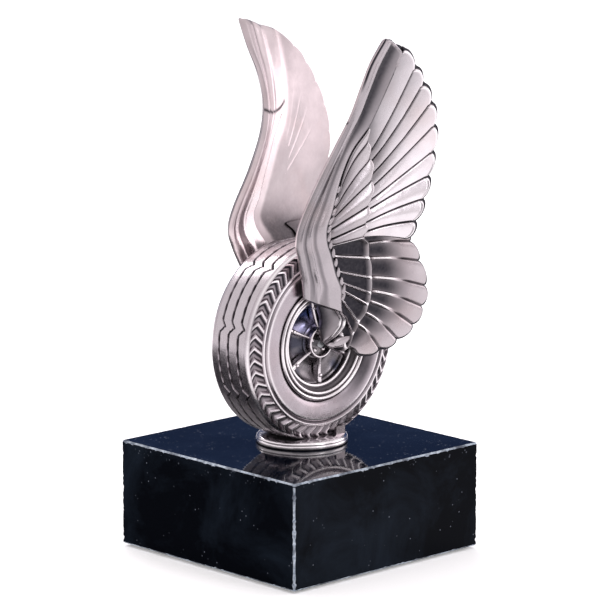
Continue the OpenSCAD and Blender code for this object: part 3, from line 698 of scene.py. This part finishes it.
def button(y, z, low, radius, height, side):
    """Domed head standing on x = low."""
    tilt = np.linspace(0, 1, 9) * math.pi / 2
    r = np.append(radius, radius * np.cos(tilt) ** 0.8)
    x = np.append(0.0, height * (0.35 + 0.65 * np.sin(tilt)))
    turn = np.arange(HEAD_SIDES)[:, None] / HEAD_SIDES * 2 * math.pi
    points = np.stack(np.broadcast_arrays(low + x, y + r * np.cos(turn), z + r * np.sin(turn)), -1)
    quads = [grid_quads(HEAD_SIDES, len(r), closed_rows=True)]
    k = np.arange(1, HEAD_SIDES // 2)
    cap = np.stack([k - 1, k, HEAD_SIDES - k - 1, HEAD_SIDES - k], -1) * len(r)
    quads += [cap, cap + len(r) - 1]
    return from_axle(points.reshape(-1, 3), side), np.concatenate(quads), 0.0


def heads(side, count, circle, start, low, radius, height):
    """Evenly spaced heads on a circle, the first at an angle in degrees."""
    angles = [math.radians(start + 360 / count * i) for i in range(count)]
    return [button(circle * math.cos(a), circle * math.sin(a), low, radius, height, side) for a in angles]


def fasteners(side):
    bolts = heads(side, BOLTS, BOLT_CIRCLE_MM, 90, HUB_FLOOR_MM - 0.05, 0.9, 1.0)
    side_piece(side, "bolt_heads", bolts, "bright_nickel", "wheel_bolts")
    rivets = heads(side, SPOKES, RIVET_CIRCLE_MM, SPOKE_START, 8.0, 0.75, 0.75)
    side_piece(side, "rivet_heads", rivets, "bright_nickel", "spoke_rivets")


# ---------- wings: outlines in mm from the axle's middle, for the left side ----------

LEADING_EDGE = [
    (14.6, -12.8, 18.1), (15.6, -14.3, 24), (17, -17.3, 32), (17.4, -19, 39), (17.3, -16.3, 47),
    (17.6, -8.2, 60), (19.4, -1.2, 72), (22.5, 2.6, 82), (26.5, 3.5, 92), (31.5, 3, 101), (37.2, 4, 110)]
LOBE_EDGE = [(12.3, -1.2, 0.4), (12.4, -2.2, 5), (12.8, -2, 9), (13.2, -4, 14.2)]
ARM_EDGE = [
    (12.3, -0.8, 0.4), (12.8, 4.1, 2), (13.6, 7.3, 4.8), (14.4, 7.5, 8), (15, 5.2, 11), (15.5, 4.2, 15.5),
    (16, 4, 20), (16.8, 0.7, 26), (17.7, -2.2, 32.5), (19, -5.6, 38.3), (19.5, -6.2, 43.5),
    (19.4, -3.9, 48.5), (19.3, -1.9, 55), (19.5, 1, 62.5), (20.6, 4.6, 69.7), (22.6, 9.7, 76.4),
    (24.4, 12, 82), (27, 13.8, 89), (30, 14.9, 96), (33.5, 15.6, 103.4)]
COVERT_EDGE = [
    (13.2, 1.8, -2), (14.6, 6.8, -2.6), (15.2, 9.7, 2.4), (15.9, 12, 6.4), (16.6, 14.6, 10),
    (17.3, 15.8, 14), (17.8, 16.3, 18), (18.1, 16.2, 23), (18.6, 14.8, 29.3), (19.3, 12.6, 34.8),
    (20.8, 9.6, 38.2), (22.3, 8.9, 43.2), (22.6, 10.1, 49.5), (22.4, 11.6, 55.2), (21.9, 12.2, 60),
    (21.6, 12, 64.5), (21.8, 10.8, 69), (22.6, 9.7, 76.4)]
UPPER_NOTCHES = [
    (33.5, 15.6, 103.4), (31, 23.7, 96.3), (30, 28.4, 90), (29.8, 32.5, 83.1), (28.8, 35.3, 74.9),
    (27.4, 36, 65.5), (26.6, 34.6, 57), (26.8, 31.6, 49.2), (26.4, 28, 41.9), (25, 25, 36)]
LOWER_NOTCHES = [
    (20.5, 29.5, 38.5), (20.6, 33, 33.4), (21, 37, 26), (20.8, 40.3, 16.6), (20, 39.6, 9.2), (19.2, 36, 3),
    (18.3, 29, -1.2), (17.2, 21.5, -3.8), (15.8, 12, -5)]
COVERT_ROOTS = [12, 11.6, 11.15, 10.5, 9.75, 9.1, 8.7, 8, 7.1, 6.4, 5.8, 5, 3.7, 1.5, 0]
COVERT_TIPS = [17, 16.4, 15.3, 13.6, 12, 11, 10, 8.1, 6.9, 5.7, 4.6, 3, 2, 1, 0]
UPPER_ROOTS = [17, 15.7, 14.9, 13.9, 13, 12.2, 11.7, 11, 10.35, 9.9]
LOWER_ROOTS = [9.9, 9, 8, 6.9, 5.9, 5, 4, 2.9, 1.2]
UPPER_FEATHERS = len(UPPER_ROOTS) - 1
LOWER_FEATHERS = len(LOWER_ROOTS) - 1
COVERT_FEATHERS = len(COVERT_ROOTS) - 1
FEATHER_T_MM = 1.3
TIP_MM = 4.0
LOWER_TIP_MM = 3.0
COVERT_T_MM = 1.45
ARM_T_MM = 1.35
ARM_KNOTS = len(ARM_EDGE) - 1
COVERT_KNOTS = len(COVERT_EDGE) - 1
ARM_START = 4 / ARM_KNOTS
BANK_TOP = 15 / ARM_KNOTS
COVERT_TOP = 12 / ARM_KNOTS
WING_FACE_MM = 10.9
WING_FACE_OUT_MM = 12.3
WING_FACE_R_MM = 13
SEAM_Y_MM = 6
SEAM_Z_MM = 78.3
SEAM_HALF_MM = 0.42
# Reach of the painted shade near the tyre and of the painted highlight beside the arm, on the inner faces.
SHADE_R_MM = 36
SHADE_FADE_MM = 16
HIGHLIGHT_MM = 2.6
HIGHLIGHT_FADE_MM = 2.2


def shifted(points, dx):
    result = points.copy()
    result[..., 0] += dx
    return result


def tip_of(p, q, crest, g, length):
    way = q - p
    way /= norm(way)[..., None]
    return way * (length * crest * g ** 4)[..., None]


def backing(u):
    """Outline of the inner face: it fills most of the notch between two tips."""
    return 0.76 + 0.22 * arch(u)


def rimmed(u):
    """Outline of the outer face, a border wider than the raised feathers."""
    return 0.3 + 0.7 * arch(u)


def from_tips(u, g, length, tip):
    """Distance in mm inside the raised tips, negative on the border around them, which is painted black as shade.
    """
    return (1 - g) * length + tip * rimmed(u) * (1 - g ** 4) - tip * (0.3 - 0.1 * arch(u))


def off_chord(low, high, g):
    """How far the arm's rear edge bows from the straight line between two of its shares."""
    start, end = curve(ARM_EDGE, np.array([low, high]))
    return curve(ARM_EDGE, mix(low, high, g)) - (start + (end - start) * g[..., None])


def upper_point(f, u, g, crest=arch):
    """f is the feather coordinate across the bank, u the share across one feather, g along it."""
    k = f / UPPER_FEATHERS
    a = curve(COVERT_EDGE, curve(UPPER_ROOTS, k) / COVERT_KNOTS)
    b = curve(UPPER_NOTCHES, k)
    near_arm = 1 - ease(4 * k)
    sag = mix(-1.6, 1, np.clip(1.3 * k - 0.1, 0, 1)) * 4 * g * (1 - g) * (1 - near_arm)
    return (a + (b - a) * g[..., None] + off_chord(BANK_TOP, 1, g) * near_arm[..., None]
            + sag[..., None] * np.array([0, -0.6, 0.8]) + tip_of(a, b, crest(u), g, TIP_MM))


def lower_point(f, u, g, crest=arch):
    k = f / LOWER_FEATHERS
    a = curve(COVERT_EDGE, curve(LOWER_ROOTS, k) / COVERT_KNOTS)
    b = curve(LOWER_NOTCHES, k)
    sag = mix(0.4, 1.4, k) * 4 * g * (1 - g)
    return (shifted(a + (b - a) * g[..., None], -0.9) + sag[..., None] * np.array([0, 0.3, 0.9])
            + tip_of(a, b, crest(u), g, LOWER_TIP_MM))


def covert_point(f, u, g):
    k = f / COVERT_FEATHERS
    a = curve(ARM_EDGE, curve(COVERT_ROOTS, k) / ARM_KNOTS)
    b = curve(COVERT_EDGE, curve(COVERT_TIPS, k) / COVERT_KNOTS)
    near_arm = 1 - ease(4 * k)
    pointed = 1 - ease((f - 6.5) / 1.5)
    length = mix(0.7, 1.7, pointed) * mix(arch(u), 1 - np.abs(2 * u - 0.9) ** 1.3, pointed)
    way = (b - a) / norm(b - a)[..., None]
    tips = way * (np.clip(length, 0, None) * g ** 3)[..., None]
    return a + (b - a) * g[..., None] + off_chord(COVERT_TOP, BANK_TOP, g) * near_arm[..., None] + tips


ACROSS = np.array([0, 0.015, 0.035, 0.06, 0.09, 0.13, 0.18, 0.25, 0.33, 0.42, 0.5, 0.58, 0.67, 0.75,
                   0.82, 0.87, 0.91, 0.94, 0.965, 0.985])


def feather_grid(count, rows, tip_rows):
    """Coordinates of a bank: f and u across it, g along it, closer together at edges and tips."""
    f = np.concatenate([i + ACROSS for i in range(count)] + [[count]])
    u = np.concatenate([np.tile(ACROSS, count), [1.0]])
    g = np.concatenate([np.linspace(0, 0.92, rows), np.linspace(0.93, 1, tip_rows)])
    return np.broadcast_arrays(f[None, :], u[None, :], g[:, None])


def band_width(point_of, count, f, g):
    """Width in mm of the feather under each grid point."""
    i = np.clip(np.floor(f), 0, count - 1)
    zero = np.zeros_like(f)
    return norm(point_of(i + 1.0, zero, g) - point_of(i, zero, g))


def edge_grooves(u, width, core, half):
    """1 in the core of the grooves between feathers, fading out to their half width in mm."""
    distance = np.minimum(u, 1 - u) * width
    return 1 - ease((distance - core) / (half - core))


def behind(points, thickness):
    """Inner face of a sheet, kept clear of the hub, the rim and the tyre."""
    radius = norm(points[..., 1:])
    clear = mix(WING_FACE_MM, WING_FACE_OUT_MM, ease((radius - WING_FACE_R_MM) / 2))
    result = points.copy()
    result[..., 0] = np.maximum(points[..., 0] - thickness, clear)
    return result


def with_wall(outer, inner, dark_outer, dark_inner):
    """Adds a wall between the two faces at the feathers' tips, painted black as shade."""
    across = (inner[-1:] - outer[-1:]) * 0.03
    black = np.ones_like(dark_outer[-1:])
    return (np.concatenate([outer, outer[-1:] + across]), np.concatenate([inner, inner[-1:] - across]),
            np.concatenate([dark_outer, black]), np.concatenate([dark_inner, black]))


def wing_sheet(side, name, outer, inner, dark_outer, dark_inner, slot, node, finish=None):
    """Closed sheet of a wing between its outer and inner face, each with its patina and its painted shade and
    highlights.
    """
    outer, inner, dark_outer, dark_inner = with_wall(outer, inner, dark_outer, dark_inner)
    points, quads = shell(outer, inner)
    points[..., 2] = np.minimum(points[..., 2], WING_TOP_MM)
    patina_and_shading = np.concatenate([dark_outer, dark_inner[:, ::-1]], axis=1).ravel()
    piece = make_object(f"{side}_{name}", from_axle(points, side), quads, patina_and_shading, 55)
    hand_over(piece, slot, f"{side}_{node}", finish=finish)
    # Inner faces get the light copy of the plating, painted light.
    piece.data.materials.append(MATERIALS["lit_inner_nickel"])
    columns = points.shape[0] // outer.shape[0]
    inside = np.array([min(q) % columns >= outer.shape[1] for q in quads], np.int32)
    piece.data.polygons.foreach_set("material_index", inside)
    return piece


def rounded(share):
    """Height of a quarter-round edge at a share of its width."""
    return np.sqrt(np.clip(1 - (1 - np.clip(share, 0, 1)) ** 2, 0, 1))


def seam(base):
    """Patina of the short curved hairline seam on the inner face."""
    y, z = base[..., 1], base[..., 2]
    line = bump(z, SEAM_Z_MM + 0.055 * (y - SEAM_Y_MM) ** 2, SEAM_HALF_MM)
    return 1.2 * line * ease(y - 1) * (1 - ease((y - 13) / 1.5))


def inner_tone(base):
    """Tone of a wing's inner face: pale, darkened towards the tyre as painted shade, with a painted highlight
    beside the arm.
    """
    radius = norm(base[..., 1:])
    edge = curve(ARM_EDGE, np.linspace(COVERT_TOP * 0.3, 1, 90))
    to_arm = np.min([np.hypot(base[..., 1] - y, base[..., 2] - z) for _, y, z in edge], axis=0)
    polish_and_highlight = 0.36 * (1 - ease((to_arm - HIGHLIGHT_MM) / HIGHLIGHT_FADE_MM))
    return mix(0.9, 0.42, ease((radius - SHADE_R_MM) / SHADE_FADE_MM)) - polish_and_highlight + seam(base)


def outlined(point_of, count, rows, tip_rows, tip):
    """Grid of a bank, its points, its feathers' width in mm and the distance inside their tips."""
    f, u, g = feather_grid(count, rows, tip_rows)
    length = norm(point_of(f, 0 * u, 0 * g + 1) - point_of(f, 0 * u, 0 * g))
    return (f, u, g, point_of(f, u, g, rimmed), band_width(point_of, count, f, g),
            from_tips(u, g, length, tip))


def upper_bank(side):
    f, u, g, base, width, inside = outlined(upper_point, UPPER_FEATHERS, 110, 24, TIP_MM)
    k = f / UPPER_FEATHERS
    groove = edge_grooves(u, width, 0.12, 0.55)
    swell = np.sin(math.pi * u ** 1.25) ** 0.75
    edge = rounded(inside / 0.6)
    bead = bump(inside, 0.75, 0.42)
    height = (0.15 + 0.5 * swell + 0.35 * bead - 0.75 * groove) * edge * ease(4 * g + 0.3)
    spread = ease((k - 0.08) / 0.1) * (1 - ease((k - 0.42) / 0.12))
    rib = bump(np.minimum(u, 1 - u) * width, 0, 0.45) * spread * (1 - ease((g - 0.45) / 0.3))
    inner = shifted(behind(upper_point(f, u, g, backing), FEATHER_T_MM), -0.2 * rib)
    shade = mix(0.52, -0.1, ease(k / 0.75)) * mix(1, 0.45, u) + 0.3 * (1 - ease(g / 0.4))
    # The bead round the tips is painted bright, a painted highlight.
    dark = mix(shade, -0.8, bead) * (1 - groove) + groove
    # The border round the tips is painted black, painted shade on the sheet's edge.
    dark = np.where(inside < 0.1, 1.0, dark)
    # Ribs on the inner face are painted lighter, a painted highlight.
    dark_in = inner_tone(base) - 0.3 * rib
    return wing_sheet(side, "upper_bank", shifted(base, height), inner, dark, dark_in, "bright_nickel",
                      "upper_feathers")


def lower_bank(side):
    f, u, g, base, width, inside = outlined(lower_point, LOWER_FEATHERS, 56, 22, LOWER_TIP_MM)
    edge = rounded(inside / 0.7)
    outward = ease((g - 0.3) / 0.45)
    ridge = edge_grooves(u, width, 0.28, 0.8)
    hollow = arch(u)
    soft_groove = edge_grooves(u, width, 0.05, 0.8)
    root_relief = 0.8 * ridge - 0.4 * hollow
    tip_relief = 0.15 + 0.75 * np.sin(math.pi * u ** 0.8) ** 0.8 - 0.3 * soft_groove
    height = mix(root_relief, tip_relief, outward) * edge
    inner = behind(lower_point(f, u, g, backing), FEATHER_T_MM)
    # Near the roots each feather is painted dark in its hollow and bright along its ridges, painted shade and
    # highlights; towards the tips it is painted lighter.
    roots = mix(hollow ** 0.5, -1, ridge)
    tips = mix(0.3, -0.12, ease((g - 0.55) / 0.4)) + 0.7 * soft_groove
    # The roots are painted darker still, a painted shadow under the coverts.
    dark = np.maximum(mix(roots, tips, outward), 1.9 * (1 - ease((g - 0.02) / 0.12)) - 0.9)
    # The border round the tips is painted black, painted shade on the sheet's edge.
    dark = np.where(inside < 0.1, 1.0, dark)
    return wing_sheet(side, "lower_bank", shifted(base, height), inner, dark, inner_tone(base),
                      "antique_nickel", "lower_feathers")


def coverts(side):
    f, u, g = feather_grid(COVERT_FEATHERS, 26, 16)
    base = covert_point(f, u, g)
    width = band_width(covert_point, COVERT_FEATHERS, f, g)
    lower = ease((f - 5.9) / 0.15)
    groove = edge_grooves(u, width, 0.08, 0.45)
    ridge = edge_grooves(u, width, 0.26, 0.75)
    border = bump(g, 0.93, 0.045)
    leaf_relief = 0.45 + 0.75 * np.sin(math.pi * u ** 1.2) ** 0.75 - 0.75 * groove
    panel = 0.2 + 0.95 * np.maximum(ridge, border) - 0.5 * arch(u) * (1 - border)
    height = mix(leaf_relief, panel, lower) * mix(0.25, 1, rounded((1 - g) * 9)) * ease(5 * g + 0.4) + 0.35
    inner = behind(base, COVERT_T_MM)
    # Each upper leaf is painted darker towards its root and along one side, as painted shade.
    leaves = mix(mix(0.45, -0.3, ease(g / 0.9)) * (1 - 0.6 * u), 1.0, groove)
    panels = mix(mix(1.1 * arch(u) ** 0.3, 0.1, border), -1, ridge)
    return wing_sheet(side, "covert_rows", shifted(base, height), inner, mix(leaves, panels, lower),
                      inner_tone(base), "antique_nickel", "coverts", "shaded_arm_nickel")


ARM_BORDER = [
    (ARM_START, 0), (6 / ARM_KNOTS, 0.1), (8 / ARM_KNOTS, 0.2), (9 / ARM_KNOTS, 0.28),
    (10 / ARM_KNOTS, 0.36), (12 / ARM_KNOTS, 0.5), (14 / ARM_KNOTS, 0.62), (15 / ARM_KNOTS, 0.7),
    (17 / ARM_KNOTS, 0.84), (1, 1)]


def arm_border(t):
    """Front border of the arm casting: the lobe's edge below the arm, the leading edge above."""
    along = np.interp(t, *zip(*ARM_BORDER))
    lobe = curve(LOBE_EDGE, t / ARM_START)
    return np.where((t < ARM_START)[..., None], lobe, curve(LEADING_EDGE, along))


def arm(side):
    """Casting of the arm, the long front feather above it and the scooped lobe below it."""
    lobe_rows = np.linspace(0, ARM_START - 0.004, 44)
    long_rows = np.linspace(ARM_START, 0.965, 130)
    t = np.concatenate([lobe_rows, long_rows, np.linspace(0.968, 1, 22)])
    w = np.concatenate([np.linspace(0, 0.06, 5), np.linspace(0.07, 0.94, 74), np.linspace(0.955, 1, 5)])
    t, w = np.meshgrid(t, w, indexing="ij")
    bow = (np.maximum(arch(w), 0.01) * ease((t - 0.8) / 0.2))[..., None] * np.array([0, 0.8, 1.5])
    flat = arm_border(t) + (curve(ARM_EDGE, t) - arm_border(t)) * w[..., None]
    base = flat + bow
    back = flat + bow * (np.maximum(arch(w), 1.7 * ease(w)) / np.maximum(arch(w), 0.01))[..., None]
    lobe = t < ARM_START
    high = ease((t - 0.62) / 0.2)
    above_foot = ease((t - ARM_START) / 0.16)

    roll = dome(w, 0.12, 0.13)
    rolls = (0.8 + mix(0.35, 0.95, above_foot) * roll + mix(0.1, 1.05, above_foot) * bump(w, 0.345, 0.05)
             + 0.95 * np.sin(math.pi * np.clip((w - 0.4) / 0.6, 0, 1)) ** 0.8
             - 0.12 * bump(w, 0.34, 0.012) * (1 - above_foot))
    strip = (0.55 + 0.9 * dome(w, 0.15, 0.17) - 0.55 * bump(w, 0.5, 0.13)
             + 0.35 * bump(w, 0.86, 0.1))
    scoop = (-0.15 - 0.7 * np.sin(math.pi * np.clip(w / 0.86, 0, 1)) + 0.85 * bump(w, 0.955, 0.045)
             + 0.45 * bump(w, 0.8, 0.035) + 0.7 * bump(t, 0.0, 0.02))
    tip_round = rounded((1.002 - t) / 0.02)
    width = norm(curve(ARM_EDGE, t) - arm_border(t))
    steps = norm(np.diff(flat, axis=0, append=flat[-1:]))
    to_tip = np.cumsum(steps[::-1], axis=0)[::-1]
    to_rear = (1 - w) * width + 2.5 * ease((to_tip - 4) / 4)
    inside = sum((np.maximum(d, 0.02)) ** -4 for d in (w * width, to_tip + 0.3, to_rear)) ** -0.25
    bead = bump(inside, 0.9, 0.5) * ease((t - 0.8) / 0.1)
    height = mix(rolls, strip, high) + 0.55 * bead
    height = height * rounded(w / 0.08) * tip_round * mix(0.35, 1, rounded((1 - w) / 0.06))
    height = np.where(lobe, scoop * mix(0.5, 1, rounded(w / 0.08) * rounded((1 - w) / 0.06)), height)

    roll_in = 0.45 * np.sin(math.pi * np.clip(w / 0.28, 0, 1))
    flute = 0.25 * (1 - np.cos(2 * math.pi * np.clip((w - 0.28) / 0.42, 0, 1)))
    inner = shifted(back, -(ARM_T_MM + (roll_in + flute) * above_foot) * rounded(w / 0.08) * tip_round - 0.05)
    inner = np.where(lobe[..., None], behind(base, 50), inner)
    # Bands of painted shade and painted highlights across the arm, standing in for the light on its rolls and
    # ridge.
    band = mix(0.45, -0.6, ease((w - 0.38) / 0.34)) + 1.6 * ease((w - 0.84) / 0.08)
    painted_shading = (band + 0.3 * bump(w, 0.21, 0.05) + 0.45 * bump(w, 0.53, 0.06)
               - 1.9 * bump(w, 0.37, 0.07)) * above_foot - 0.9 * bump(w, 0.06, 0.04)
    # At the foot: painted shade towards the front, a painted highlight towards the rear, a thin bright line and a
    # dark rear edge.
    foot = mix(0.42, -1.0, ease((w - 0.5) / 0.34)) - 0.9 * bump(w, 0.345, 0.02) + 0.8 * ease((w - 0.9) / 0.06)
    painted_shading = painted_shading + foot * (1 - above_foot)
    # The long front feather is painted bright on its rolled front edge, dark in the middle and lighter behind, as
    # painted shade and highlights; the bead round its tip is painted bright as a highlight, and its outline near
    # the tip black as painted shade.
    painted_roll_shading = mix(-1, 0.95, ease((w - 0.2) / 0.16)) * mix(1, 0.4, ease((w - 0.5) / 0.35))
    painted_roll_shading = mix(painted_roll_shading, -1, np.clip(1.3 * bead, 0, 1)) + 0.9 * bump(w, 1.0, 0.03)
    painted_roll_shading = mix(painted_roll_shading, 1.0, (1 - ease((inside - 0.25) / 0.2)) * (1 - ease((to_tip - 16) / 14)))
    # The scooped lobe is painted dark at the front and lighter towards the rear, painted shade in its hollow, with
    # its raised rims and bottom edge painted bright as highlights.
    scooped = mix(1.0, 0.35, ease(w / 0.8)) - 2.0 * bump(w, 0.955, 0.05) - 1.5 * bump(w, 0.8, 0.035)
    scooped = scooped + 0.8 * bump(w, 0.875, 0.03)
    dark = np.where(lobe, scooped - 1.5 * bump(t, 0.0, 0.012), mix(painted_shading, painted_roll_shading, high))
    dark = np.where(lobe, dark, np.maximum(dark, 0.9 * bump(w, 1.0, 0.02)))
    tipward = ease((t - 0.45) / 0.3)
    # On the inner face the flute is painted lighter than the front strip, a painted highlight; both are painted
    # darker towards the tip, with a dark line between them.
    dark_in = (mix(mix(0.0, 0.3, tipward), mix(-0.1, 0.1, tipward), ease((w - 0.3) / 0.06))
               + 0.3 * bump(w, 0.29, 0.018) + seam(base))
    return wing_sheet(side, "arm_casting", shifted(base, height), inner, dark, dark_in, "bright_nickel",
                      "wing_arm", "shaded_arm_nickel")


def leaf(centre, way, length, half, lift):
    """Small raised leaf lying on the wing along a direction."""
    across = np.array([0.0, way[2], -way[1]])
    a, o = np.meshgrid(np.linspace(-1, 1, 17), np.linspace(-1, 1, 11), indexing="ij")
    outline = np.clip(1 - np.abs(a) ** 2.2, 0, None) ** 0.6 * (1 - 0.25 * a)
    plan = (centre + way * (a * length / 2)[..., None] + across * (o * half * outline)[..., None])
    dome = lift * np.clip(1 - o ** 2, 0, 1) ** 0.5 * np.clip(1 - a ** 2, 0, 1) ** 0.35
    return shell(shifted(plan, dome + 0.05), shifted(plan, -0.6))


ROOT_LEAVES = [((14.7, 6.0, 0.4), (15.2, 10.6, 1.4), 1.7, 0.7), ((14.2, 3.4, -0.9), (14.6, 7.6, -1.6), 1.0, 0.5)]


def arm_leaves(side):
    """Row of small overlapping leaves along the arm's rear edge, and the larger ones at the root."""
    parts = []
    for i, share in enumerate(np.linspace(5.3, 12.2, 13) / ARM_KNOTS):
        here, ahead = curve(ARM_EDGE, np.array(share)), curve(ARM_EDGE, np.array(share + 0.01))
        way = (ahead - here) / norm(ahead - here)
        across = np.array([0.0, way[2], -way[1]])
        tilted = way * 0.93 + across * 0.37
        size = 3.4 + 0.6 * (i % 2)
        points, quads = leaf(here + across * 0.15 + np.array([0.75, 0, 0]), tilted, size, 0.95, 0.65)
        parts.append((from_axle(points, side), quads, 0.1))
    for centre, end, half, lift in ROOT_LEAVES:
        centre, end = np.array(centre), np.array(end)
        length = 2 * norm(end - centre)
        way = (end - centre) / (length / 2)
        points, quads = leaf(centre, way, length, half, lift)
        parts.append((from_axle(points, side), quads, 0.0))
    return side_piece(side, "arm_leaves", parts, "bright_nickel", finish="shaded_arm_nickel")


# ---------- build ----------

block()
disc()
tyre()
for side in SIDES:
    rim(side)
    dish(side)
    spider(side)
    fasteners(side)
    upper_bank(side)
    lower_bank(side)
    coverts(side)
    arm(side)
    arm_leaves(side)


# ---------- stage, light and camera ----------

CAMERA_AZIMUTH = 46.62
CAMERA_ELEVATION = 11.58
CAMERA_DISTANCE = 1.4356
CAMERA_LENS = 240.0
AIM_RIGHT = 0.0002
AIM_UP = 0.08754
FLOOR_HALF = 8.0
FLOOR_GLOW = 0.30
CARD_MM = [(-47, 10), (-47, -47), (47, -47), (-80, -190), (-340, -340), (-340, 10)]
# Colours of the sky's dome at shares of its height.
SKY_BRIGHT = [
    (0.0, (1.0, 0.95, 0.97)), (0.3, (0.95, 0.91, 0.94)), (0.6, (1.05, 1.01, 1.03)),
    (1.0, (1.15, 1.12, 1.12))]
# Direction, the cosines where the flag fades in, its colour and the heights where it fades out.
SKY_FLAGS = [
    ((-0.72, 0.69, 0.0), 0.50, 0.80, (0.028, 0.05, 0.125), 0.38, 0.62),
    ((0.72, -0.68, 0.15), 0.86, 0.95, (0.50, 0.48, 0.50), 0.45, 0.6)]
# Name, azimuth, elevation, distance, width, height, power and colour.
SOFTBOXES = [
    ("key", -112, 41, 1.2, 1.0, 0.6, 7.5, (1.0, 0.96, 0.98)),
    ("fill", 100, 30, 1.3, 0.2, 0.9, 1.8, (0.98, 0.97, 1.0)),
    ("back", 156, 12, 1.2, 0.9, 0.6, 2.6, (1.0, 0.94, 0.96))]
LIGHTS_AIM = Vector((0, 0, 0.1))


def flat_stage(name, corners, material):
    mesh = bpy.data.meshes.new(name)
    mesh.from_pydata(corners, [], [range(len(corners))])
    mesh.materials.append(material)
    piece = in_scene(name, mesh)
    return piece


def floor():
    """Pale light table."""
    p = Paint("pale_floor")
    colour = p.blend(p.noise(3, 3), (0.84, 0.84, 0.85), (0.88, 0.88, 0.88))
    material = p.set(Base_Color=colour, Roughness=0.9, Emission_Color=(1.0, 0.98, 0.99),
                     Emission_Strength=FLOOR_GLOW)
    h = FLOOR_HALF
    flat_stage("floor", [(-h, -h, 0), (h, -h, 0), (h, h, 0), (-h, h, 0)], material)


def black_card():
    """Dark card on the floor beside the ornament, seen only in reflections."""
    p = Paint("black_paper")
    colour = p.blend(p.noise(40, 4), (0.02, 0.02, 0.025), (0.035, 0.035, 0.04))
    material = p.set(Base_Color=colour, Roughness=0.9)
    card = flat_stage("black_card", [(x * MM, y * MM, MM / 2) for x, y in CARD_MM], material)
    card.visible_camera = card.visible_diffuse = card.visible_shadow = False


def sky():
    """Soft pale dome with dark flags behind the ornament and behind the camera."""
    world = bpy.data.worlds.new("studio")
    scene.world = world
    world.use_nodes = True
    tree = Nodes(world.node_tree)
    way = tree.coordinates["Generated"]
    height = tree.new("SeparateXYZ", Vector=way).outputs["Z"]
    ramp = tree.new("ValToRGB", Fac=height)
    for i, (share, colour) in enumerate(SKY_BRIGHT):
        stop = ramp.color_ramp.elements[i] if i < 2 else ramp.color_ramp.elements.new(share)
        stop.position = share
        stop.color = (*colour, 1)
    light = ramp.outputs["Color"]
    for direction, low, high, colour, start, end in SKY_FLAGS:
        dot = tree.nodes.new("ShaderNodeVectorMath")
        dot.operation = "DOT_PRODUCT"
        tree.plug(dot.inputs[0], way)
        tree.plug(dot.inputs[1], direction)
        near = tree.span(dot.outputs["Value"], low, high, smooth=True)
        below = tree.span(height, end, start, smooth=True)
        light = tree.blend(tree.maths("MULTIPLY", near, below), light, colour)
    tree.plug(tree.nodes["Background"].inputs["Color"], light)


def direction(azimuth, elevation):
    """Unit vector towards an azimuth, counted from the front to the left wing, and an elevation."""
    a, e = math.radians(azimuth), math.radians(elevation)
    return Vector((math.sin(a) * math.cos(e), -math.cos(a) * math.cos(e), math.sin(e)))


def look_from(piece, back, distance, target):
    piece.location = target + back * distance
    piece.rotation_mode = "QUATERNION"
    piece.rotation_quaternion = (-back).to_track_quat("-Z", "Y")


def softbox(name, azimuth, elevation, distance, width, height, power, colour):
    data = bpy.data.lights.new(name, "AREA")
    data.shape = "RECTANGLE"
    data.size, data.size_y = width, height
    data.energy = power
    data.color = colour
    lamp = in_scene(name, data)
    lamp.visible_camera = False
    look_from(lamp, direction(azimuth, elevation), distance, LIGHTS_AIM)


def camera():
    back = direction(CAMERA_AZIMUTH, CAMERA_ELEVATION)
    right = direction(CAMERA_AZIMUTH + 90, 0)
    data = bpy.data.cameras.new("camera")
    data.lens = CAMERA_LENS
    data.sensor_width = 36
    data.clip_end = 60
    eye = in_scene("camera", data)
    target = right * AIM_RIGHT + back.cross(right) * AIM_UP + Vector((0, 0, STONE_LOW.z))
    look_from(eye, back, CAMERA_DISTANCE, target)
    scene.camera = eye


floor()
black_card()
sky()
for box in SOFTBOXES:
    softbox(*box)
camera()
scene.view_settings.view_transform = "Standard"
